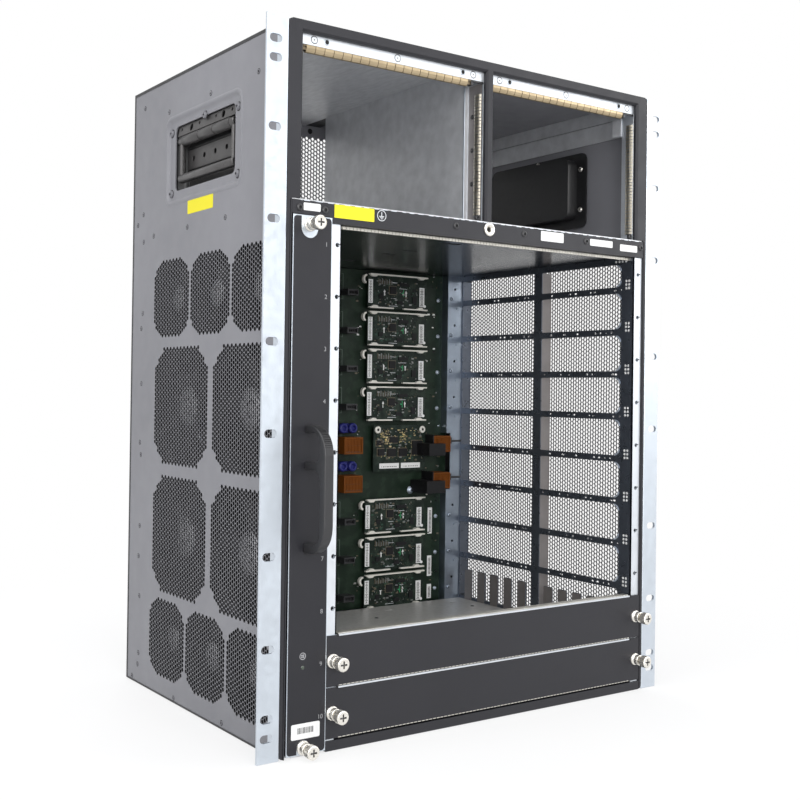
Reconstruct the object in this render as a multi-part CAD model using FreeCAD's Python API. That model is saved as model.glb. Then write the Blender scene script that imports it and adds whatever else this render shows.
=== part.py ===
import FreeCAD
import Part
import math
import os

V = FreeCAD.Vector

# ---------------------------------------------------------------------------
# Driving dimensions (mm).  X to the right, Y to the back, Z up.
# The origin is the middle of the base.
# ---------------------------------------------------------------------------
body_width = 440.0
bay_height = 151.5
rear_room = 28.0
ear_reach = 21.3

# sheet metal and fits
sheet = 1.2
ear_sheet = 2.5
side_play = 0.2
tray_play = 0.3
hole_radius = 2.9
rivet_sides = 6
small_sides = 8
round_sides = 12

# front frame
frame_depth = 5.0
frame_bevel = 2.0
frame_corner = 4.0
beam_height = 9.6
column_left = 14.7
column_right = 15.3
leg_left = 5.0
leg_right = 4.3
post_width = 9.2
post_centre = 2.4
rail_height = 8.5
groove_width = 0.8
groove_inset = 3.4

# card cage
slot_pitch = 44.45
slot_count = 10
open_slots = 8
slot_base = 9.9
cage_left_gap = 10.5
cage_right_gap = 16.6
cage_rise = 0.6
cage_past_tray = 7.8
cage_joggle = 11.4
left_foot = 14.0
flange_left = 10.2
flange_right = 12.0
rear_flange = 22.4
spacer_reach = 13.9
floor_lap = 2.35
floor_front = 13.0
floor_back = 0.6
floor_lip = 8.0
vent_slot_x = -5.4
vent_slot_ys = (62.8, -9.4, -46.4, -116.0)
vent_slot_length = 17.0
vent_slot_width = 8.0
flange_hole_radius = 2.0

# cage side windows
bar_height = 6.8
bar_rise = 7.1
window_front = 18.0
window_split = 136.3
window_post = 11.4
window_end = 1.6
window_top_gap = 6.0
window_bottom_gap = 4.0
comb_fingers = 3
comb_finger = 21.0
comb_height = 33.0

# middle beam and power-supply bays
beam_lap = 4.4
beam_height_low = 17.0
beam_step_rise = 5.2
beam_depth = 8.0
socket_ring = 6.4
socket_barrel = 4.2
socket_bore = 2.6
socket_proud = 1.4
socket_length = 7.0
zinc_height = 8.9
zinc_leg = 16.0
zinc_hole_pitch = 151.2
zinc_hole_rise = 5.3
top_gasket_height = 6.4
top_gasket_width = 7.0
top_gasket_short = 14.0
side_gasket_height = 2.4
gasket_steps = 6
side_gasket_width = 9.5
side_gasket_bottom = 6.2
side_gasket_top = 10.0
left_gasket_inset = 8.0
right_gasket_inset = 5.6
divider_swell = 5.4
divider_joggle = 27.3
divider_back = 46.0
divider_hole_radius = 2.0
divider_hole_pitch = 32.0
divider_hole_rise = 71.0
roof_flange = 34.8
roof_step = 16.6
roof_offset = 1.8

# rear exhaust and bay sockets
vent_margin = 14.0
vent_rise = 33.0
vent_drop = 12.5
vent_hex = 50.0
vent_pitch = 55.0
plug_width = 60.0
plug_height = 34.0
plug_depth = 14.0
plug_rise = 8.0
plug_wall = 4.0
plug_offset = 108.0

# fan tray
tray_left = 6.4
tray_width = 39.1
tray_top_play = 0.6
tray_lift = 1.5
tray_end = 8.5
tray_box_bottom = 14.2
tray_box_drop = 10.6
overlay_sheet = 0.4
overlay_inset = 0.9
overlay_corner = 3.0
overlay_notch = 17.0
overlay_notch_depth = 19.0
fan_thick = 37.5
large_fan = 119.0
small_fan = 80.0
large_hub = 22.5
small_hub = 15.0
large_gap = 7.4
small_gap = 2.9
large_start = 11.0
small_start = 14.5
large_count = 2
small_count = 3
row_gap_shares = (0.14, 0.16, 0.33, 0.28)
bore_wall = 3.0
bore_sides = 12
hub_sides = 8
large_blades = 7
small_blades = 5
blade_chord = 24.0
blade_thick = 1.6
blade_angle = 38.0
tip_clearance = 4.0
rotor_inset = 2.0
rotor_gap = 0.4
strut_width = 5.0
strut_depth = 3.0
axle_radius = 2.5
axle_gap = 0.05
axle_sides = 8
hub_cap = 3.0

# side grilles: three hexagons in front of each fan
large_hex = 50.0
small_hex = 34.0
grille_web = 4.0
intake_front = 15.0
intake_back = 37.0
intake_hex = 63.0
intake_pitch = 68.0

# captive screws
head_radius = 6.0
head_length = 7.0
head_sides = 12
shank_radius = 2.5
screw_gap = 0.10
screw_reach = 17.5
screw_past = 5.5
collar_radius = 6.1
collar_length = 8.0
recess_width = 1.5
recess_span = 6.5
recess_depth = 1.6
screw_tab_width = 22.0
screw_tab_height = 13.0
tray_screw_inset = 7.5
tray_screw_place = 16.6
blank_screw_place = 6.5
blank_screw_edge = 10.3

# pull handle of the fan tray
pull_place = 18.6
pull_width = 9.0
pull_reach = 32.0
pull_bar = 9.0
pull_bottom = 171.0
pull_top = 278.0
pull_foot = 8.0
pull_loop_foot = 6.0
pull_branch_low = 241.0
pull_branch_high = 247.0
pull_round = 24.0
pull_inner_round = 8.0
pull_steps = 7

# blank slot panels
blank_play = 0.35
blank_return = 10.0
blank_return_play = 0.6

# rack ears
ear_flange = 15.0
ear_slot_length = 12.0
ear_slot_width = 7.0
ear_slot_inset = 8.75
ear_slot_ends = (271.15, 169.55, 93.35, 36.2, 20.25)

# lifting handles
pad_width = 152.0
pad_height = 83.0
pad_below_top = 85.0
pad_sink = 2.5
pad_round = 8.0
pocket_width = 124.0
pocket_height = 64.0
pocket_shift = 1.5
pocket_round = 6.0
pocket_depth = 16.0
pocket_flange = 2.0
bail_width = 112.0
bail_rise = 17.0
bail_drop = 37.0
bail_radius = 4.5
bail_inset = 6.6
bail_arm = 5.0
pin_radius = 2.5
pin_gap = 0.08

# backplane
board_left_gap = 4.0
board_right_gap = 14.6
board_bottom_drop = 2.0
board_top_play = 0.4
board_sheet = 3.0
card_sheet = 1.6
card_lift = 6.0
card_place = 141.4
card_width = 88.0
card_height = 40.0
card_drop = 4.6
card_slots = (1, 2, 3, 4, 7, 8, 9)
control_slots = (5, 6)
card_socket = 5.0
control_place = 130.4
control_width = 78.0
control_height = 55.0
control_gap = 5.7
control_notch_drop = 0.6
control_notch_top = 20.4
control_notch_room = 16.5
block_height = 19.4
block_depth = 22.0
block_wall = 3.0
block_width = 26.0
block_places = (181.4, 50.4)
block_rise = 1.6
blue_width = 26.0
blue_height = 12.0
blue_depth = 12.0
blue_rise = 23.5
black_place = 175.4
black_width = 15.0
black_height = 7.0
black_depth = 16.0
black_rise = 8.0
edge_screw_place = 29.4
edge_screw_rise = 10.0
edge_screw_radius = 3.0
edge_screw_height = 2.4

# small screws
beam_screws_left = (12.6, 37.8, 182.0)
beam_screws_right = (8.0, 88.8, 172.9)
beam_screw_rise = 10.5
small_screw_radius = 3.2
small_screw_height = 1.4
zinc_screw_insets = (13.2, 10.6)

# ---------------------------------------------------------------------------
# Values worked out from the driving dimensions
# ---------------------------------------------------------------------------
small_row = small_count * small_fan + (small_count - 1) * small_gap
large_row = large_count * large_fan + (large_count - 1) * large_gap
tray_depth = max(small_start + small_row, large_start + large_row) + tray_end
cage_depth = tray_depth + cage_past_tray
body_depth = cage_depth + cage_joggle + rear_room
beam_bottom = slot_base + slot_count * slot_pitch - beam_lap
beam_step = beam_bottom + beam_step_rise
bay_floor = beam_bottom + beam_height_low
body_height = bay_floor + bay_height
rack_width = body_width + 2 * ear_reach
half_width = body_width / 2
front = -body_depth / 2
back = body_depth / 2
inner_side = half_width - sheet
roof_under = body_height - sheet
inner_back = back - sheet
frame_rear = front + frame_depth
plate_rear = front + sheet
flange_front = plate_rear + side_play
flange_rear = flange_front + sheet
post_left_x = post_centre - post_width / 2
post_right_x = post_centre + post_width / 2
column_left_x = -half_width + column_left
column_right_x = half_width - column_right
leg_left_x = -half_width + leg_left
leg_right_x = half_width - leg_right
beam_under = body_height - beam_height
zinc_under = beam_under - zinc_height
shelf_top = bay_floor + sheet
tray_left_x = -half_width + tray_left
tray_right_x = tray_left_x + tray_width
blank_left_x = tray_right_x + tray_play
blank_right_x = leg_right_x - tray_play
tray_back = front + tray_depth
tray_height = beam_step - tray_top_play
tray_box_top = beam_bottom - tray_box_drop
tray_screw_x = tray_left_x + tray_screw_place
pull_x = tray_left_x + pull_place
blank_screw_left = tray_right_x + blank_screw_place
blank_screw_right = half_width - blank_screw_edge
cage_left = tray_right_x + cage_left_gap
cage_right = half_width - cage_right_gap
cage_height = beam_bottom + cage_rise
floor_height = slot_base + slot_pitch - floor_lap
window_top = beam_bottom - window_top_gap
window_bottom = floor_height + window_bottom_gap
fan_right_x = tray_right_x - sheet
fan_left_x = fan_right_x - fan_thick
top_screw_z = tray_height - tray_screw_inset
cage_back = front + cage_depth
board_face = cage_back + cage_joggle
card_face = board_face - card_lift - card_sheet
board_left = cage_left + board_left_gap
board_right = cage_right - board_right_gap
board_bottom = floor_height - board_bottom_drop
board_top = cage_height - board_top_play
card_left = cage_right - card_place
control_left = cage_right - control_place
edge_screw_x = cage_right - edge_screw_place
pocket_face = inner_side - pad_sink
pad_height_centre = body_height - pad_below_top
pocket_height_centre = pad_height_centre + pocket_shift
bail_height = pocket_height_centre + bail_rise
socket_z = (beam_bottom + bay_floor) / 2 + 2.3
hub_radii = {large_fan: large_hub, small_fan: small_hub}
bays = ((column_left_x, post_left_x, -1), (post_right_x, column_right_x, 1))


# ---------------------------------------------------------------------------
# Shape helpers
# ---------------------------------------------------------------------------
def box(x0, x1, y0, y1, z0, z1):
    """Block between two corners."""
    return Part.makeBox(x1 - x0, y1 - y0, z1 - z0, V(x0, y0, z0))


def place(u, v, plane, level):
    """Point of a drawing plane in space: 'xy', 'xz' or 'yz' at a level."""
    if plane == "xy":
        return V(u, v, level)
    if plane == "xz":
        return V(u, level, v)
    return V(level, u, v)


def normal(plane, length):
    """Vector of a length out of a drawing plane."""
    return {"xy": V(0, 0, length), "xz": V(0, length, 0), "yz": V(length, 0, 0)}[plane]


def prism(points, plane, start, end):
    """Solid of a closed outline drawn in a plane, from start to end."""
    corners = [place(u, v, plane, start) for u, v in points]
    face = Part.Face(Part.makePolygon(corners + corners[:1]))
    return face.extrude(normal(plane, end - start))


def folded(path, plane, start, end, thick=sheet):
    """Sheet bent along an open path, its thickness to the left of the path."""
    lines = []
    for (u0, v0), (u1, v1) in zip(path, path[1:]):
        run = math.hypot(u1 - u0, v1 - v0)
        du = -(v1 - v0) / run * thick
        dv = (u1 - u0) / run * thick
        lines.append(((u0 + du, v0 + dv), (u1 + du, v1 + dv)))
    inner = [lines[0][0]]
    for (a, b), (c, d) in zip(lines, lines[1:]):
        ab = (b[0] - a[0], b[1] - a[1])
        cd = (d[0] - c[0], d[1] - c[1])
        cross = ab[0] * cd[1] - ab[1] * cd[0]
        step = ((c[0] - a[0]) * cd[1] - (c[1] - a[1]) * cd[0]) / cross
        inner.append((a[0] + ab[0] * step, a[1] + ab[1] * step))
    inner.append(lines[-1][1])
    return prism(list(path) + inner[::-1], plane, start, end)


def rounded(u0, u1, v0, v1, radius, plane, start, end, steps=2):
    """Rectangle with round corners of a few steps, extruded from start to end."""
    corners = ((u1 - radius, v0 + radius, -90), (u1 - radius, v1 - radius, 0),
               (u0 + radius, v1 - radius, 90), (u0 + radius, v0 + radius, 180))
    points = []
    for u, v, first in corners:
        for step in range(steps + 1):
            angle = math.radians(first + 90.0 * step / steps)
            points.append((u + radius * math.cos(angle), v + radius * math.sin(angle)))
    return prism(points, plane, start, end)


def polygon_points(u, v, radius, sides, turn=0.0):
    """Corners of a regular polygon about a point."""
    points = []
    for step in range(sides):
        angle = 2 * math.pi * (step + turn) / sides
        points.append((u + radius * math.cos(angle), v + radius * math.sin(angle)))
    return points


def peg(u, v, radius, plane, start, end, sides):
    """Many-sided pin whose corners lie on the radius."""
    return prism(polygon_points(u, v, radius, sides), plane, start, end)


def drilled(u, v, radius, plane, start, end, sides):
    """Many-sided hole tool that clears a round pin of the radius."""
    corner = radius / math.cos(math.pi / sides)
    return prism(polygon_points(u, v, corner, sides), plane, start, end)


def obround(u, v, length, width, plane, start, end):
    """Hole tool with true half-round ends, its length along the plane's first axis."""
    reach = (length - width) / 2
    half = width / 2
    below = (place(u - reach, v - half, plane, start), place(u + reach, v - half, plane, start))
    above = (place(u + reach, v + half, plane, start), place(u - reach, v + half, plane, start))
    right = place(u + length / 2, v, plane, start)
    left = place(u - length / 2, v, plane, start)
    edges = [Part.makeLine(*below), Part.Arc(below[1], right, above[0]).toShape(),
             Part.makeLine(*above), Part.Arc(above[1], left, below[0]).toShape()]
    return Part.Face(Part.Wire(edges)).extrude(normal(plane, end - start))


def fuse(shapes):
    """One solid from shapes that share faces or overlap."""
    shapes = list(shapes)
    return shapes[0].fuse(shapes[1:]).removeSplitter()


def group(shapes):
    """Separate solids kept in one node."""
    return Part.makeCompound(list(shapes))


def mirrored(shape):
    """The same shape on the other side of the middle plane."""
    return shape.mirror(V(0, 0, 0), V(1, 0, 0))


def hexagon(u, v, across, plane, start, end):
    """Hexagonal hole tool with points up, by its width across flats."""
    points = polygon_points(u, v, across / math.sqrt(3), 6, 0.5)
    return prism(points, plane, start, end)


def spread(count, pitch, middle=0.0):
    """Evenly spaced places about a middle."""
    return [middle + (index - (count - 1) / 2) * pitch for index in range(count)]


def honeycomb(u0, u1, v0, v1, pitch):
    """Centres of a staggered pattern centred in a rectangle."""
    rise = pitch * math.sqrt(3) / 2
    rows = int((v1 - v0 - pitch) / rise) + 1
    centres = []
    for row, v in enumerate(spread(rows, rise, (v0 + v1) / 2)):
        count = int((u1 - u0) / pitch) - row % 2
        for u in spread(count, pitch, (u0 + u1) / 2):
            centres.append((u, v))
    return centres


def slot_bottom(number):
    """Height of the lower edge of a slot; slot 1 is the top one."""
    return slot_base + (slot_count - number) * slot_pitch


def fan_places():
    """Width, Y and Z of every fan, row by row from the top."""
    rows = ((small_fan, small_start, small_gap, small_count),
            (large_fan, large_start, large_gap, large_count),
            (large_fan, large_start, large_gap, large_count),
            (small_fan, small_start, small_gap, small_count))
    free = tray_box_top - tray_box_bottom - sum(row[0] for row in rows)
    fans = []
    low = tray_box_bottom
    for (width, start, gap, count), share in zip(rows, row_gap_shares):
        low += share * free
        row = [(width, front + start + width / 2 + index * (width + gap), low + width / 2)
               for index in range(count)]
        fans = row + fans
        low += width
    return fans


def export(name, shape):
    """Write one node."""
    shape.exportStep("parts/" + name + ".step")


# ---------------------------------------------------------------------------
# Outer panels
# ---------------------------------------------------------------------------
def base_panel():
    """Floor of the chassis with upturned sides and the lower tray screw tab."""
    side = inner_side - side_play
    path = [(-side, rail_height), (-side, 0), (side, 0), (side, rail_height)]
    pan = folded(path, "xz", frame_rear + side_play, inner_back)
    low = tray_screw_x - screw_tab_width / 2
    high = tray_screw_x + screw_tab_width / 2
    tongue = box(low, high, flange_front, frame_rear + 1, 0, sheet)
    tab = box(low, high, flange_front, flange_rear, 0, screw_tab_height)
    hole = drilled(tray_screw_x, tray_screw_inset, hole_radius, "xz",
                   front, frame_rear, small_sides)
    return fuse([pan, tongue, tab]).cut(hole)


def roof_side():
    """Stepped flange that hangs from the roof inside the right side panel."""
    inner = inner_side - roof_offset
    low = roof_under - roof_flange
    step = roof_under - roof_step
    path = [(inner, low), (inner, step), (inner_side, step + roof_offset),
            (inner_side, roof_under)]
    return folded(path, "xz", frame_rear + zinc_leg, inner_back)


def top_panel():
    """Roof sheet with a stepped flange along each side."""
    roof = box(-half_width, half_width, frame_rear, inner_back, roof_under, body_height)
    return fuse([roof, roof_side(), mirrored(roof_side())])


def rear_panel():
    """Back sheet with the exhaust holes of the power-supply bays."""
    plate = box(-half_width, half_width, inner_back, back, 0, body_height)
    edge = half_width - vent_margin
    centres = honeycomb(-edge, edge, bay_floor + vent_rise,
                        body_height - vent_drop, vent_pitch)
    tools = [hexagon(x, z, vent_hex, "xz", inner_back - 1, back + 1) for x, z in centres]
    return plate.cut(tools)


def side_sheet():
    """Plain right side panel with the sunk handle patch and its opening."""
    plate = box(inner_side, half_width, frame_rear, inner_back, 0, roof_under)
    low = pad_height_centre - pad_height / 2
    high = pad_height_centre + pad_height / 2
    edge = pad_width / 2
    pad = rounded(-edge, edge, low, high, pad_round, "yz", pocket_face, half_width)
    dish = rounded(-edge + sheet, edge - sheet, low + sheet, high - sheet,
                   pad_round - sheet, "yz", pocket_face + sheet, half_width + 1)
    opening = rounded(-pocket_width / 2, pocket_width / 2,
                      pocket_height_centre - pocket_height / 2,
                      pocket_height_centre + pocket_height / 2,
                      pocket_round, "yz", pocket_face - 1, half_width)
    return fuse([plate, pad]).cut([dish, opening])


def left_side_panel():
    """Left side with a grille of three hexagons in front of each fan."""
    tools = []
    for width, y, z in fan_places():
        across = large_hex if width == large_fan else small_hex
        reach = (across + grille_web) / math.sqrt(3)
        for u, v in polygon_points(y, z, reach, 3, 0.25):
            tools.append(hexagon(u, v, across, "yz", -half_width - 1, -inner_side + 1))
    return mirrored(side_sheet()).cut(tools)


def right_side_panel():
    """Right side with the air intake of the card cage."""
    centres = honeycomb(front + intake_front, back - intake_back,
                        window_bottom, window_top, intake_pitch)
    tools = []
    for y, z in centres:
        tools.append(hexagon(y, z, intake_hex, "yz", inner_side - 1, half_width + 1))
    return side_sheet().cut(tools)


# ---------------------------------------------------------------------------
# Front frame, middle beam and rack ears
# ---------------------------------------------------------------------------
def bay_opening(x0, x1):
    """Opening of the front frame before a bay, widened forwards by a bevel."""
    through = box(x0, x1, front - 1, frame_rear + 1, bay_floor - 1, beam_under)
    outlines = []
    for y, grow in ((front, frame_bevel), (front + frame_bevel, 0.0)):
        corners = [V(x0 - grow, y, bay_floor - 1), V(x1 + grow, y, bay_floor - 1),
                   V(x1 + grow, y, beam_under + grow), V(x0 - grow, y, beam_under + grow)]
        outlines.append(Part.makePolygon(corners + corners[:1]))
    return [through, Part.makeLoft(outlines, True, True)]


def front_frame():
    """Black front: top beam, columns, post, legs and bottom rail."""
    face = rounded(-half_width, half_width, 0, body_height, frame_corner,
                   "xz", front, frame_rear)
    tools = []
    for left, right, _ in bays:
        tools += bay_opening(left, right)
    tools.append(box(leg_left_x, leg_right_x, front - 1, frame_rear + 1,
                     rail_height, shelf_top))
    tools.append(box(leg_left_x, blank_left_x, front - 1, frame_rear + 1,
                     -1, rail_height + 1))
    for side in (-1, 1):
        x = side * (half_width - groove_inset)
        tools.append(box(x - groove_width / 2, x + groove_width / 2,
                         front - 1, front + groove_width, -1, bay_floor))
    return face.cut(tools)


def mid_beam():
    """Beam between the bays and the cage, with the upper tray screw tab."""
    left = leg_left_x + side_play
    right = leg_right_x - side_play
    outline = [(left, beam_step), (blank_left_x, beam_step), (blank_left_x, beam_bottom),
               (right, beam_bottom), (right, bay_floor), (left, bay_floor)]
    face = prism(outline, "xz", front, plate_rear)
    top = box(left, right, front, front + beam_depth, bay_floor - sheet, bay_floor)
    under = box(blank_left_x, right, front, front + beam_depth,
                beam_bottom, beam_bottom + sheet)
    low = tray_screw_x - screw_tab_width / 2
    high = tray_screw_x + screw_tab_width / 2
    tab_bottom = top_screw_z - tray_screw_inset + 1
    tab = box(low, high, flange_front, flange_rear, tab_bottom, bay_floor)
    joint = box(low, high, plate_rear, flange_front, beam_step, bay_floor)
    holes = [drilled(tray_screw_x, top_screw_z, hole_radius, "xz",
                     front, frame_rear, small_sides),
             drilled(post_centre, socket_z, socket_barrel, "xz",
                     front - 1, plate_rear + 1, round_sides)]
    return fuse([face, top, under, tab, joint]).cut(holes)


def ground_socket():
    """Round wrist-strap socket in the middle beam."""
    ring = peg(post_centre, socket_z, socket_ring, "xz",
               front - socket_proud, front, round_sides)
    barrel = peg(post_centre, socket_z, socket_barrel, "xz",
                 front, front + socket_length, round_sides)
    bore = Part.makeCylinder(socket_bore, socket_proud + socket_length,
                             V(post_centre, front - socket_proud, socket_z), V(0, 1, 0))
    return fuse([ring, barrel]).cut(bore)


def rack_ear():
    """Right rack bracket: slotted front plate and side flange."""
    path = [(half_width, front + ear_flange), (half_width, front), (rack_width / 2, front)]
    angle = folded(path, "xy", 0, body_height, ear_sheet)
    x = rack_width / 2 - ear_slot_inset
    tools = []
    for end in ear_slot_ends:
        for z in (end, body_height - end):
            tools.append(obround(x, z, ear_slot_length, ear_slot_width, "xz",
                                 front - 1, front + ear_sheet + 1))
    return angle.cut(tools)


# ---------------------------------------------------------------------------
# Power-supply bays
# ---------------------------------------------------------------------------
def psu_shelf():
    """Floor of the bays, its front edge resting on the middle beam."""
    side = inner_side - side_play
    shoulder = frame_rear + side_play
    left = leg_left_x + side_play
    right = leg_right_x - side_play
    outline = [(-side, shoulder), (left, shoulder), (left, plate_rear),
               (right, plate_rear), (right, shoulder), (side, shoulder),
               (side, inner_back), (-side, inner_back)]
    return prism(outline, "xy", bay_floor, shelf_top)


def divider_wall():
    """Hollow wall between the bays, narrowed to the post at the front."""
    rear = back - divider_back
    joggle = front + divider_joggle
    left = post_left_x - divider_swell
    right = post_right_x + divider_swell
    path = [(post_right_x, frame_rear), (post_right_x, joggle), (right, joggle),
            (right, rear), (left, rear), (left, joggle), (post_left_x, joggle),
            (post_left_x, frame_rear)]
    skin = folded(path, "xy", shelf_top, roof_under)
    middle = joggle - sheet - divider_swell
    tools = []
    for z in spread(3, divider_hole_pitch, bay_floor + divider_hole_rise):
        tools.append(drilled(middle, z, divider_hole_radius, "yz",
                             post_left_x - 1, post_right_x + 1, rivet_sides))
    return skin.cut(tools)


def psu_flange(left, right, side):
    """Zinc angle across the top of a bay and down beside its outer wall."""
    path = [(frame_rear, roof_under), (frame_rear, zinc_under),
            (frame_rear + zinc_leg, zinc_under)]
    across = folded(path, "yz", left, right)
    edge = right if side > 0 else left
    wall = side * (inner_side - side_play)
    face = box(min(edge, wall), max(edge, wall), frame_rear, frame_rear + sheet,
               shelf_top, roof_under)
    inner = min(edge, edge + side * sheet)
    leg = box(inner, inner + sheet, frame_rear, frame_rear + zinc_leg,
              shelf_top, roof_under)
    holes = []
    for x in spread(2, zinc_hole_pitch, (left + right) / 2):
        holes.append(drilled(x, zinc_under + zinc_hole_rise, flange_hole_radius, "xz",
                             frame_rear - 1, frame_rear + sheet + 1, small_sides))
    return fuse([across, face, leg]).cut(holes)


def bowed(u, v, width, height, plane, start, end):
    """Spring gasket: a half oval of a width, hanging below a point by a height."""
    points = []
    for step in range(gasket_steps + 1):
        angle = math.pi * step / gasket_steps
        points.append((u + width / 2 * (1 - math.cos(angle)), v - height * math.sin(angle)))
    return prism(points, plane, start, end)


def gasket_strips():
    """Spring gaskets under the top flanges and beside both bays."""
    strips = []
    for left, right, _ in bays:
        strips.append(bowed(frame_rear + side_play, zinc_under, top_gasket_width,
                            top_gasket_height, "yz", left + side_play,
                            right + side_play - top_gasket_short))
    low = shelf_top + side_gasket_bottom
    high = zinc_under - side_gasket_top
    edges = ((post_left_x, left_gasket_inset), (column_right_x, right_gasket_inset))
    for x, inset in edges:
        upright = bowed(front + inset, -x, side_gasket_width, -side_gasket_height,
                        "yz", low, high)
        upright.rotate(V(0, 0, 0), V(0, 1, 0), -90)
        strips.append(upright)
    return group(strips)


def open_socket(x0, x1, y0, y1, z0, z1, wall):
    """Connector shell, hollow towards the front."""
    shell = box(x0, x1, y0, y1, z0, z1)
    hollow = box(x0 + wall, x1 - wall, y0 - 1, y1 - wall, z0 + wall, z1 - wall)
    return shell.cut(hollow)


def psu_connectors():
    """Blind-mate power sockets low on the back of the two bays."""
    sockets = []
    low = shelf_top + plug_rise
    for side in (-1, 1):
        left = side * plug_offset - plug_width / 2
        sockets.append(open_socket(left, left + plug_width, inner_back - plug_depth,
                                   inner_back, low, low + plug_height, plug_wall))
    return group(sockets)


# ---------------------------------------------------------------------------
# Card cage
# ---------------------------------------------------------------------------
def cage_windows(x):
    """Hole tools of a cage wall: two columns of windows and the bottom combs."""
    tools = []
    splits = ((front + window_front, front + window_split),
              (front + window_split + window_post, cage_back - window_end))
    for y0, y1 in splits:
        for number in range(1, open_slots + 1):
            low = slot_bottom(number) + bar_rise + bar_height / 2
            high = window_top
            if number > 1:
                high = slot_bottom(number - 1) + bar_rise - bar_height / 2
            tools.append(box(x - 3, x + 3, y0, y1, low, high))
        high = slot_bottom(open_slots) + bar_rise - bar_height / 2
        space = (y1 - y0 - comb_fingers * comb_finger) / (comb_fingers + 1)
        outline = [(y0, window_bottom), (y0, high), (y1, high), (y1, window_bottom)]
        for index in range(comb_fingers):
            right = y1 - space - index * (space + comb_finger)
            outline += [(right, window_bottom), (right, window_bottom + comb_height),
                        (right - comb_finger, window_bottom + comb_height),
                        (right - comb_finger, window_bottom)]
        tools.append(prism(outline, "yz", x - 3, x + 3))
    return tools


def wall_trims(x0, x1):
    """Clearance of a cage wall around the bottom rail and the middle beam."""
    return [box(x0, x1, front - 1, frame_rear + side_play, 0, rail_height + side_play),
            box(x0, x1, front - 1, front + beam_depth + side_play,
                beam_bottom - side_play, cage_height + 1)]


def flange_holes(x):
    """Screw holes of the front flange, one for each slot."""
    tools = []
    for number in range(1, slot_count + 1):
        z = slot_bottom(number) + slot_pitch / 2
        radius = flange_hole_radius if number <= open_slots else hole_radius
        tools.append(drilled(x, z, radius, "xz", front, front + sheet * 3, rivet_sides))
    return tools


def cage_left_wall():
    """Wall between the fan tray and the cards."""
    rear = board_face - sheet
    path = [(cage_left - flange_left, flange_front), (cage_left, flange_front),
            (cage_left, rear), (cage_left + left_foot, rear)]
    wall = folded(path, "xy", sheet, cage_height)
    tools = cage_windows(cage_left)
    tools += wall_trims(cage_left - flange_left - 1, cage_left + 1)
    tools += flange_holes(blank_screw_left)
    return wall.cut(tools)


def cage_right_wall():
    """Wall between the cards and the air intake, with its spacer webs."""
    inner = cage_right - rear_flange
    path = [(inner, board_face), (inner, cage_back), (cage_right, cage_back),
            (cage_right, flange_front), (cage_right + flange_right, flange_front)]
    wall = folded(path, "xy", sheet, cage_height)
    tools = cage_windows(cage_right)
    tools += wall_trims(cage_right - 1, cage_right + flange_right + 1)
    low = slot_bottom(control_slots[1]) - control_notch_drop
    high = slot_bottom(control_slots[0] - 1) - control_notch_top
    tools.append(box(inner - 1, cage_right - control_notch_room,
                     cage_back - 1, board_face + 1, low, high))
    tools += flange_holes(blank_screw_right)
    webs = []
    for y in (front + window_split, cage_back):
        webs.append(box(cage_right + sheet, cage_right + sheet + spacer_reach,
                        y, y + sheet, window_bottom, window_top))
    return fuse([wall.cut(tools)] + webs)


def cage_ceiling():
    """Sheet above the cards, lying on the two cage walls."""
    plate = box(cage_left - sheet, cage_right + sheet,
                front + beam_depth + side_play, board_face + board_sheet,
                cage_height, cage_height + sheet)
    tools = []
    for y in vent_slot_ys:
        tools.append(rounded(vent_slot_x - vent_slot_length / 2,
                             vent_slot_x + vent_slot_length / 2,
                             y - vent_slot_width / 2, y + vent_slot_width / 2,
                             vent_slot_width / 2 - 0.01, "xy",
                             cage_height - 1, cage_height + 3, 1))
    return plate.cut(tools)


def cage_floor():
    """Support sheet between the two lowest slots, folded down at the walls."""
    left = cage_left + side_play / 2
    right = cage_right - side_play / 2
    low = floor_height - floor_lip
    path = [(right, low), (right, floor_height), (left, floor_height), (left, low)]
    return folded(path, "xz", front + floor_front, cage_back - floor_back)


def backplane():
    """Circuit board across the back of the cage."""
    return box(board_left, board_right, board_face, board_face + board_sheet,
               board_bottom, board_top)


def carried_board(x0, x1, z0, z1):
    """Small board parallel to the backplane, plugged on a socket at its middle."""
    plate = box(x0, x1, card_face, card_face + card_sheet, z0, z1)
    middle = (z0 + z1) / 2
    socket = box(x0 + card_socket, x1 - card_socket, card_face + card_sheet,
                 board_face, middle - card_socket, middle + card_socket)
    return fuse([plate, socket])


def mezz_boards():
    """The seven plug-in boards of the backplane."""
    boards = []
    for number in card_slots:
        low = slot_bottom(number) - card_drop
        boards.append(carried_board(card_left, card_left + card_width,
                                    low, low + card_height))
    return group(boards)


def centre_board():
    """Board of the two control slots, hung below the board above it."""
    top = slot_bottom(control_slots[0] - 1) - card_drop - control_gap
    return carried_board(control_left, control_left + control_width,
                         top - control_height, top)


def orange_connectors():
    """Wide connector shells of the two control slots."""
    shells = []
    for place_in in block_places:
        x = cage_right - place_in
        for number in control_slots:
            z = slot_bottom(number) + block_rise
            shells.append(open_socket(x, x + block_width, board_face - block_depth,
                                      board_face, z, z + block_height, block_wall))
    return group(shells)


def blue_connectors():
    """Guide blocks above the left connector shells."""
    blocks = []
    x = cage_right - block_places[0]
    for number in control_slots:
        low = slot_bottom(number) + block_rise + blue_rise
        blocks.append(box(x, x + blue_width,
                          board_face - blue_depth, board_face, low, low + blue_height))
    return group(blocks)


def black_connectors():
    """Card connectors at the left of the plug-in boards."""
    blocks = []
    black_left = cage_right - black_place
    for number in card_slots:
        low = slot_bottom(number) + black_rise
        blocks.append(box(black_left, black_left + black_width,
                          board_face - black_depth, board_face, low, low + black_height))
    return group(blocks)


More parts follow.
